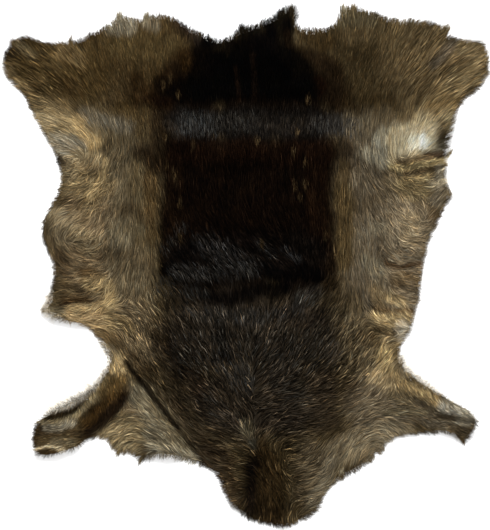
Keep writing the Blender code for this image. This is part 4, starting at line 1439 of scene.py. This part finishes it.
class Locks:
    """Locks of about one size, one in each square of that size, with the line that each one follows. The
    finer ones are gathered into coarser ones, which are their parents."""

    def __init__(self, places, size, draw, parents=None, share=1.0, gather=0.0):
        self.places, self.size = places, size
        self.parent = parents.nearest(places) if parents else None
        length, _, curl, _ = np.moveaxis(land.at("zones", places), -1, 0)
        count = len(places)
        self.turn = share * draw.normal(0, 1, count) * (STRAIGHT_TURN + CURLED_TURN * curl)
        self.bend = share * draw.normal(0, 1, count) * (STRAIGHT_BEND + CURLED_BEND * curl)
        self.stretch = 1 + share * draw.uniform(-LENGTH_SPREAD, LENGTH_SPREAD, count)
        self.shade = SHADE_EVEN * draw.normal(0, 1, count)
        self.shade += SHADE_BRIGHT * (np.clip(draw.gumbel(0, 1, count), *BRIGHT_RANGE) - BRIGHT_MEAN)
        self.luck = draw.uniform(0, 1, count)
        if parents:
            self.turn += parents.turn[self.parent]
            self.bend += parents.bend[self.parent]
            self.stretch *= parents.stretch[self.parent]
        self.lines = combed_lines(places, HAIR_LENGTH * (length * self.stretch), self.turn, self.bend)
        if parents:
            pull = gather * draw.uniform(*PULL_SPREAD, count) + CURL_PULL * curl
            with_parent = (land.at("lie", places) * land.at("lie", parents.places[self.parent])).sum(1) >= 0
            pull = np.minimum(pull * with_parent, MOST_PULL)[:, None] * station_row("along") ** PULL_ONSET
            self.lines += pull[..., None] * (parents.lines[self.parent] - self.lines)

    def nearest(self, places):
        """The number of the lock that is nearest to each place."""
        low = land.chart.places[0, 0]
        columns = len(np.arange(low[0], land.chart.places[-1, -1][0], self.size))
        cell = np.floor((places - low) / self.size).astype(int)
        best, nearest = np.full(len(places), np.inf), np.zeros(len(places), int)
        for down in (-1, 0, 1):
            for across in (-1, 0, 1):
                number = np.clip((cell[:, 1] + down) * columns + cell[:, 0] + across, 0, len(self.places) - 1)
                away = np.linalg.norm(self.places[number] - places, axis=1)
                nearest = np.where(away < best, number, nearest)
                best = np.minimum(best, away)
        return nearest


def kept_at_rim(lines, slack):
    """Draws back hairs that would reach too far past the skin. slack is the share of the reach allowed."""
    root, tip = lines[:, 0], lines[:, -1]
    inner = np.maximum(land.at("inside", root), 0.0)
    outer = -land.at("inside", tip)
    allowed = land.at("reach", tip) * slack
    share = np.where(outer > allowed, (inner + allowed) / np.maximum(inner + outer, 1e-6), 1.0)
    return root[:, None] + (lines - root[:, None]) * np.clip(share, LEAST_KEPT, 1)[:, None, None]


def coat_hairs(settings, spacing, width, draw):
    """The coat itself: hairs in strands, and strands in locks, all over the skin."""
    locks = Locks(scattered(settings.lock_size, draw), settings.lock_size, draw)
    strands = Locks(scattered(settings.strand_size, draw), settings.strand_size, draw, locks, STRAND_SHARE,
                    STRAND_GATHER * settings.gather)
    places = scattered(spacing, draw)
    places = places[land.at("inside", places) > ROOT_INSIDE]
    hairs = Locks(places, spacing, draw, strands, HAIR_SHARE, settings.gather)
    strand, count = hairs.parent, len(places)
    lock = strands.parent[strand]

    lines = kept_at_rim(hairs.lines, SKIN_INSET * hairs.stretch ** 2 * draw.uniform(*REACH_SPREAD, count))
    layer = (1 - STRAND_LAYER) * draw.beta(*LAYER_SPREAD, count)
    layer += STRAND_LAYER * draw.beta(*LAYER_SPREAD, len(strands.places))[strand]
    contrast = land.at("zones", places)[:, 3]
    shares = settings.lock_contrast, settings.strand_contrast, settings.hair_contrast
    # the layer's part is painted shade within the coat: the inner hair darker, the outer lighter
    shade = (shares[0] * locks.shade[lock] + shares[1] * strands.shade[strand] + shares[2] * hairs.shade
             + settings.layer_contrast * (layer - MIDDLE_LAYER))
    shade = np.exp(contrast * shade - (contrast ** 2) * sum(share ** 2 for share in shares) / 2)
    drift = (draw.normal(0, STRAND_DRIFT, (len(strands.places), 2))[strand]
             + draw.normal(0, HAIR_DRIFT, (count, 2)))
    luck = OWN_LUCK * hairs.luck + STRAND_LUCK * strands.luck[strand] + LOCK_LUCK * locks.luck[lock]
    colours = sheened(lines + drift[:, None], luck)
    return hairs_from(settings, lines, layer, width, colours, shade, draw)


def sheened(places, luck):
    """The coat's colour along each hair, and that of the light on it for those hairs that catch it. luck is
    each hair's chance, from 0, which always catches the light, to 1."""
    colours = land.colour(places)
    colours = PAINT_HOLD * colours[:, 2:3] + (1 - PAINT_HOLD) * colours
    spots = [Sheen("spot", SPOT_COLOUR, SPOT_SHARE, SPOT_RADIUS,
                   ((x, y - SPOT_LENGTH / 2), (x, y + SPOT_LENGTH / 2))) for x, y in SPOTS]
    for sheen in (*SHEENS, *spots):
        outside = 1 - cover_of(sheen, places, SHEEN_FULL, SHEEN_GONE)
        catch = smooth(luck[:, None] + LUCK_OUTSIDE * outside, sheen.share + SHEEN_ABOVE,
                       sheen.share - SHEEN_BELOW)[..., None]
        colours = colours + catch * (linear(sheen.colour) - colours)
    return colours


def rim_hairs(settings, width, draw):
    """Hairs that spring from the skin's edge and soften its outline."""
    edge = np.repeat(evenly_along(land.edge, settings.rim_spacing), RIM_GROUP, axis=0)
    count = len(edge)
    roots = edge[:, :2] + draw.normal(0, RIM_STRAY, (count, 2))
    out = unit(land.at("out", roots))
    roots -= out * draw.uniform(0, RIM_ROOTS, count)[:, None]
    lie = unit(land.at("lie", roots))
    side = np.stack([out[:, 1], -out[:, 0]], axis=1)
    own = np.clip(RIM_OWN_LIE + (lie * out).sum(1), 0, 1)[:, None]
    ahead = unit(out * (RIM_OUTWARD - own) + lie * own + side * (edge[:, 3] * (1 - own[:, 0]))[:, None])
    waves = mottle(roots, RIM_WAVE_SIZE, RIM_SEED)
    waves += FINER_RIM_WAVE * mottle(roots, FINER_RIM_WAVE_SIZE, RIM_SEED + 1)
    tufts = mottle(roots, RIM_TUFT_SIZE, RIM_SEED + 2)
    ahead = turned(ahead, RIM_TUFT_TURN * tufts + draw.normal(0, RIM_TURN, count))
    reach = edge[:, 2] * (SKIN_INSET + RIM_BEYOND + RIM_WAVE * waves) * draw.uniform(*RIM_LENGTHS, count)
    lengths = np.maximum(reach, RIM_LEAST) / np.clip((ahead * out).sum(1), RIM_FLATTEST, 1)
    bend = draw.normal(0, RIM_BEND, count)
    lines = grown(roots, lengths, lambda places, here, after: turned(ahead, bend * (here + after) / 2))
    layer = draw.uniform(*RIM_LAYERS, count)
    shade = RIM_SHADE * np.exp(draw.normal(0, settings.hair_contrast, count))
    colours = land.colour(lines[:, 1:2] - RIM_PAINT_INSIDE * out[:, None])
    return hairs_from(settings, lines, layer, RIM_WIDTH * width, colours, shade, draw)


def tuft_hairs(settings, width, draw):
    """The locks that stand out from the rest."""
    lines, layers, colours = [], [], []
    for tuft in TUFTS:
        ahead = turned(np.array([1.0, 0.0]), math.radians(tuft.lie))
        side = np.array([-ahead[1], ahead[0]])
        across = draw.uniform(-0.5, 0.5, tuft.hairs) * tuft.width * MM
        back = draw.uniform(*TUFT_ROOTS, tuft.hairs) * tuft.length * MM
        lengths = tuft.length * MM * draw.uniform(*TUFT_LENGTHS, tuft.hairs)
        lengths *= 1 - TUFT_SHORTENING * np.abs(across) / (tuft.width * MM)
        bow = draw.normal(0, TUFT_BOW) + draw.normal(0, TUFT_HAIR_BOW, tuft.hairs)
        line = []
        for share in station_row("along"):
            forward = back + share * lengths
            sideways = across * (1 - TUFT_NARROWING * share) + bow * lengths * share ** TUFT_BOW_GROWTH
            line.append(on_hide((tuft.x, tuft.y)) + forward[:, None] * ahead + sideways[:, None] * side)
        lines.append(np.stack(line, axis=1))
        layers.append(draw.uniform(*TUFT_LAYERS, tuft.hairs))
        colours.append(np.tile(linear(tuft.colour), (tuft.hairs, 1, 1)))
    lines, layers, colours = np.concatenate(lines), np.concatenate(layers), np.concatenate(colours)
    colours = TUFT_COLOUR * colours + (1 - TUFT_COLOUR) * land.colour(lines[:, :1])
    shade = np.exp(draw.normal(0, settings.hair_contrast, len(lines)))
    return hairs_from(settings, lines, layers, TUFT_WIDTH * width, colours, shade, draw)


def fringe_hairs(settings, width, draw):
    """Thin pale woolly hair along the forelegs' upper edges."""
    lines = []
    for fringe in FRINGES:
        path = on_hide(fringe.path)
        whole = distances(path)[-1]
        count = round(whole / MM * FRINGE_DENSITY)
        roots = at_distances(path, draw.uniform(0, whole, count))
        out = unit(land.at("out", roots))
        roots += out * (land.at("inside", roots) + draw.uniform(*FRINGE_ROOTS, count))[:, None]
        ahead = turned(out, draw.normal(0, FRINGE_TURN, count))
        bend = draw.normal(0, FRINGE_BEND, count)
        lengths = fringe.reach * MM * draw.uniform(*FRINGE_LENGTHS, count)
        lengths *= 1 + FRINGE_PATCHES * mottle(roots, FRINGE_PATCH_SIZE, FRINGE_SEED)
        lines.append(grown(roots, lengths, lambda places, here, after: turned(ahead, bend * here)))
    lines = np.concatenate(lines)
    layers = draw.uniform(*FRINGE_LAYERS, len(lines))
    colours = np.tile(linear(FRINGE_COLOUR), (len(lines), 1, 1))
    shade = np.exp(draw.normal(0, FRINGE_CONTRAST, len(lines)))
    return hairs_from(settings, lines, layers, FRINGE_WIDTH * width, colours, shade, draw)


Hairs = namedtuple("Hairs", "lines heights widths colours")


def hairs_from(settings, lines, layer, width, colours, shade, draw):
    """Gives flat hair lines their heights over the skin, their widths and their shades along the way."""
    tint = draw.normal(0, 1, len(lines))
    rise = station_row("height") * layer[:, None]
    heights = land.at("skin", lines) + SKIN_TO_HAIR + rise * land.at("depth", lines)
    past = np.maximum(-land.at("inside", lines), 0.0)
    low = np.minimum(heights, FLOOR_CLEARANCE + LAYER_CLEARANCE * layer[:, None])
    droop = np.minimum(DROOP * past + DROOP_GROWTH * past ** 2, 1.0)
    heights = np.maximum(heights - droop, low)
    widths = np.tile(station_row("width") * width / 2, (len(lines), 1))
    # darker towards the root: partly the hair's own colour and partly painted shade deep in the coat
    shades = station_row("shade") * shade[:, None]
    warmth = 1 + settings.tint_contrast * tint[:, None] * np.array(TINT)
    full = settings.brightness * colours * shades[..., None] * warmth[:, None]
    return Hairs(lines, heights, widths, np.clip(full, *COLOUR_RANGE))


def hair_ribbons(hairs, draw):
    """Each hair as a narrow pointed ribbon: its points and its triangles, all facing up."""
    centres = np.concatenate([hairs.lines, hairs.heights[..., None]], axis=-1)
    ahead = np.gradient(centres, axis=1)
    slope = land.at("slope", hairs.lines)
    up = unit(np.concatenate([-slope, np.ones((*slope.shape[:2], 1))], axis=-1))
    side = unit(np.cross(ahead, up))
    lean = np.cross(side, unit(ahead))
    roll = draw.normal(0, RIBBON_ROLL, len(centres))[:, None, None]
    across = (side * np.cos(roll) + lean * np.sin(roll)) * hairs.widths[..., None]
    pairs = np.stack([centres - across, centres + across], axis=2).reshape(len(centres), -1, 3)
    points = np.concatenate([pairs[:, :len(RIBBON_ON_MAP) - 1], centres[:, -1:]], axis=1)
    triangles = RIBBON + len(RIBBON_ON_MAP) * np.arange(len(centres))[:, None, None]
    colours = hairs.colours[:, RIBBON_STATIONS]
    return points.reshape(-1, 3), triangles.reshape(-1, 3), colours.reshape(-1, 3)


def unwrap_hairs(piece, count):
    """A map for baking, on which each hair has a small square of its own."""
    side = math.ceil(math.sqrt(count))
    number = np.arange(count)
    corner = np.stack([number % side, number // side], axis=1) / side
    places = corner[:, None] + RIBBON_ON_MAP / side
    layer = piece.data.uv_layers.new(name="OFBake")
    layer.data.foreach_set("uv", places[:, RIBBON.ravel()].astype(np.float32).ravel())


def make_coat(settings):
    """The hair, in bands from the neck to the rump, each of them one piece."""
    draw = np.random.default_rng(SEED)
    spacing = settings.hair_spacing * 1.0
    width = settings.hair_width * 1.0
    parts = [
        coat_hairs(settings, spacing, width, draw),
        rim_hairs(settings, width, draw),
        tuft_hairs(settings, width, draw),
        fringe_hairs(settings, width, draw),
    ]
    hairs = Hairs(*(np.concatenate(column) for column in zip(*parts)))
    order = np.argsort(hairs.lines[:, 0, 1], kind="stable")
    material = hair_material(settings, "deer_hair", settings.roughness)
    pieces = []
    for name, members in zip(BANDS, np.array_split(order, len(BANDS))):
        points, triangles, colours = hair_ribbons(Hairs(*(column[members] for column in hairs)), draw)
        piece = new_object(name, points, triangles, material)
        paint_points(piece, colours)
        unwrap_hairs(piece, len(members))
        pieces.append(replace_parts(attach(piece, "root"), HIDE))
    return pieces


def make_floor(settings):
    """The pale floor, far wider than the hide."""
    bpy.ops.object.select_all(action="DESELECT")
    bpy.ops.mesh.primitive_circle_add(vertices=96, radius=settings.floor_radius, fill_type="NGON")
    floor = bpy.context.object
    floor.name = "floor"
    floor.data.materials.append(floor_material(settings))


def make_window_light(settings):
    """A large soft lamp beyond the rump, which shines on the middle of the hide."""
    place = Vector(settings.key_place)
    bpy.ops.object.light_add(type="AREA", location=place)
    lamp = bpy.context.object
    lamp.name = "window"
    lamp.data.shape = "DISK"
    lamp.data.size = settings.key_size
    lamp.data.energy = settings.key_power
    lamp.data.color = settings.key_colour
    lamp.visible_camera = False
    lamp.rotation_euler = (Vector() - place).to_track_quat("-Z", "Y").to_euler()


def make_world(settings):
    """Even light from all round, a little brighter at the horizon, where the floor ends."""
    world = bpy.data.worlds.new("studio")
    bpy.context.scene.world = world
    tree = Tree(world)
    height = tree.node("SeparateXYZ", None, {0: tree.node("TexCoord")["Generated"]})["Z"]
    lights = (0.0, settings.horizon_light), (OVERHEAD_EDGE, settings.sky_light), (1.0, OVERHEAD_LIGHT)
    stops = [(place, (light, light, light, 1.0)) for place, light in lights]
    shade = tree.node("ValToRGB", {"stops": stops}, {"Fac": height})["Color"]
    background = tree.node("Background", None, {"Color": shade})["Background"]
    tree.node("OutputWorld", None, {"Surface": background})


def make_camera(settings):
    """A camera straight above the hide, framed as the photograph is."""
    left, top = IMAGE_CORNER
    middle = on_hide((left + IMAGE_WIDTH / 2 * PIXEL, top - IMAGE_HEIGHT / 2 * PIXEL))
    bpy.ops.object.camera_add(location=(*middle, settings.camera_height), rotation=(0, 0, 0))
    camera = bpy.context.object
    camera.name = "camera"
    camera.data.sensor_width = 36
    camera.data.lens = camera.data.sensor_width * settings.camera_height / (IMAGE_HEIGHT * PIXEL * MM)
    camera.data.clip_end = 100
    bpy.context.scene.camera = camera


class SkinSettings(bpy.types.PropertyGroup):
    """The skin under the hair."""

    colour: FloatVectorProperty(
        name="Suede", description="Colour of the flesh side and of the edge", subtype="COLOR",
        default=(0.62, 0.52, 0.40), min=0, max=1)
    mesh_pitch: FloatProperty(
        name="Mesh pitch", description="Distance between the points of the skin's mesh",
        default=0.0085, min=0.004, unit="LENGTH", precision=4)
    undercoat_height: FloatProperty(
        name="Undercoat", description="Height of the undercoat as a share of the coat's depth",
        default=0.34, min=0.1, max=0.8)
    undercoat_inset: FloatProperty(
        name="Undercoat inset", description="How far the undercoat stops short of the skin's edge",
        default=0.0010, min=0, unit="LENGTH", precision=4)


class CoatSettings(bpy.types.PropertyGroup):
    """The hair."""

    hair_width: FloatProperty(
        name="Hair width", description="Width of one modelled hair", default=0.00088, min=0.0002,
        unit="LENGTH", precision=4)
    hair_spacing: FloatProperty(
        name="Hair spacing", description="Distance between the roots of two hairs", default=0.00205,
        min=0.001, unit="LENGTH", precision=5)
    rim_spacing: FloatProperty(
        name="Rim spacing", description="Distance between groups of hairs along the edge",
        default=0.0012, min=0.0005, unit="LENGTH", precision=4)
    lock_size: FloatProperty(
        name="Lock size", description="Width of one lock of hair", default=0.0095, min=0.002,
        unit="LENGTH", precision=4)
    strand_size: FloatProperty(
        name="Strand size", description="Width of one strand of a lock", default=0.0019, min=0.001,
        unit="LENGTH", precision=4)
    gather: FloatProperty(
        name="Gather", description="How far the hairs of a lock are drawn together at their tips",
        default=0.48, min=0, max=1)
    lock_contrast: FloatProperty(
        name="Lock contrast", description="How much one lock differs from the next in shade", default=0.05)
    strand_contrast: FloatProperty(
        name="Strand contrast", description="How much one strand differs from the next", default=0.36)
    hair_contrast: FloatProperty(
        name="Hair contrast", description="How much one hair differs from the next in shade", default=0.44)
    # Painted shade within the coat: the inner hair darker than the outer
    layer_contrast: FloatProperty(
        name="Layer contrast", description="How much lighter the outer hair is than the inner", default=0.6)
    tint_contrast: FloatProperty(
        name="Tint contrast", description="How much one hair is warmer or greyer than the next", default=0.06)
    brightness: FloatProperty(
        name="Brightness", description="Brightness of the whole coat", default=0.51, min=0)
    roughness: FloatProperty(
        name="Roughness", description="Roughness of the hair", default=0.42, min=0, max=1, subtype="FACTOR")
    wool_roughness: FloatProperty(
        name="Wool roughness", description="Roughness of the undercoat", default=0.7, min=0, max=1,
        subtype="FACTOR")
    shine: FloatProperty(
        name="Shine", description="Strength of the hair's gloss", default=0.006, min=0, max=1,
        subtype="FACTOR")


class StudioSettings(bpy.types.PropertyGroup):
    """The floor, the light and the camera."""

    floor_colour: FloatVectorProperty(
        name="Floor", description="Colour of the floor", subtype="COLOR", default=(0.94, 0.94, 0.94),
        min=0, max=1)
    floor_radius: FloatProperty(
        name="Floor radius", description="Radius of the floor", default=14.0, min=2, unit="LENGTH")
    key_power: FloatProperty(
        name="Window light", description="Power of the large soft light beyond the rump", default=410.0,
        min=0, unit="POWER")
    key_colour: FloatVectorProperty(
        name="Window light colour", description="Colour of that light", subtype="COLOR",
        default=(0.96, 0.98, 1.0), min=0, max=1)
    key_place: FloatVectorProperty(
        name="Window light place", description="Where that light stands", subtype="TRANSLATION",
        unit="LENGTH", default=(0.0, 3.3, 2.0))
    key_size: FloatProperty(
        name="Window light size", description="How far that light is across", default=1.9, min=0,
        unit="LENGTH")
    sky_light: FloatProperty(
        name="Overhead", description="Brightness of the light from above", default=1.0, min=0)
    horizon_light: FloatProperty(
        name="Horizon", description="Brightness of the pale backdrop all round", default=1.25, min=0)
    camera_height: FloatProperty(
        name="Camera height", description="Height of the camera over the floor", default=6.0, min=1,
        unit="LENGTH")


class DEERSKIN_OT_skin(bpy.types.Operator):
    """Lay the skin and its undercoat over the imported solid"""

    bl_idname = "deerskin.skin"
    bl_label = "Lay the skin"

    def execute(self, context):
        make_skin(context.scene.deerskin_skin)
        make_undercoat(context.scene.deerskin_skin, context.scene.deerskin_coat)
        return {"FINISHED"}


class DEERSKIN_OT_coat(bpy.types.Operator):
    bl_idname = "deerskin.coat"
    bl_label = "Grow the coat"

    def execute(self, context):
        pieces = make_coat(context.scene.deerskin_coat)
        width, length = land.outline.max(0) - land.outline.min(0)
        area_within(land.outline)
        return {"FINISHED"}


class DEERSKIN_OT_studio(bpy.types.Operator):
    """Set up the floor, the light and the camera"""

    bl_idname = "deerskin.studio"
    bl_label = "Set up the studio"

    def execute(self, context):
        settings = context.scene.deerskin_studio
        make_floor(settings)
        make_world(settings)
        make_window_light(settings)
        make_camera(settings)
        context.scene.view_settings.view_transform = "Standard"
        return {"FINISHED"}


class DEERSKIN_PT_panel(bpy.types.Panel):
    """Everything that builds the deerskin"""

    bl_idname = "DEERSKIN_PT_panel"
    bl_label = "Deerskin"
    bl_space_type = "VIEW_3D"
    bl_region_type = "UI"
    bl_category = "Deerskin"

    def draw(self, context):
        for step, settings in STEPS:
            box = self.layout.box()
            box.operator(step.bl_idname)
            group = getattr(context.scene, settings)
            for name in group.bl_rna.properties.keys():
                if name not in ("rna_type", "name"):
                    box.prop(group, name)


STEPS = (
    (DEERSKIN_OT_skin, "deerskin_skin"),
    (DEERSKIN_OT_coat, "deerskin_coat"),
    (DEERSKIN_OT_studio, "deerskin_studio"),
)
GROUPS = {"deerskin_skin": SkinSettings, "deerskin_coat": CoatSettings, "deerskin_studio": StudioSettings}


def register():
    for group in GROUPS.values():
        bpy.utils.register_class(group)
    for name, group in GROUPS.items():
        setattr(bpy.types.Scene, name, PointerProperty(type=group))
    for step, _ in STEPS:
        bpy.utils.register_class(step)
    bpy.utils.register_class(DEERSKIN_PT_panel)


def unregister():
    bpy.utils.unregister_class(DEERSKIN_PT_panel)
    for step, _ in STEPS:
        bpy.utils.unregister_class(step)
    for name, group in GROUPS.items():
        delattr(bpy.types.Scene, name)
        bpy.utils.unregister_class(group)


land = Land()


def main():
    register()
    bpy.ops.deerskin.skin()
    bpy.ops.deerskin.coat()
    bpy.ops.deerskin.studio()


if __name__ == "__main__":
    main()
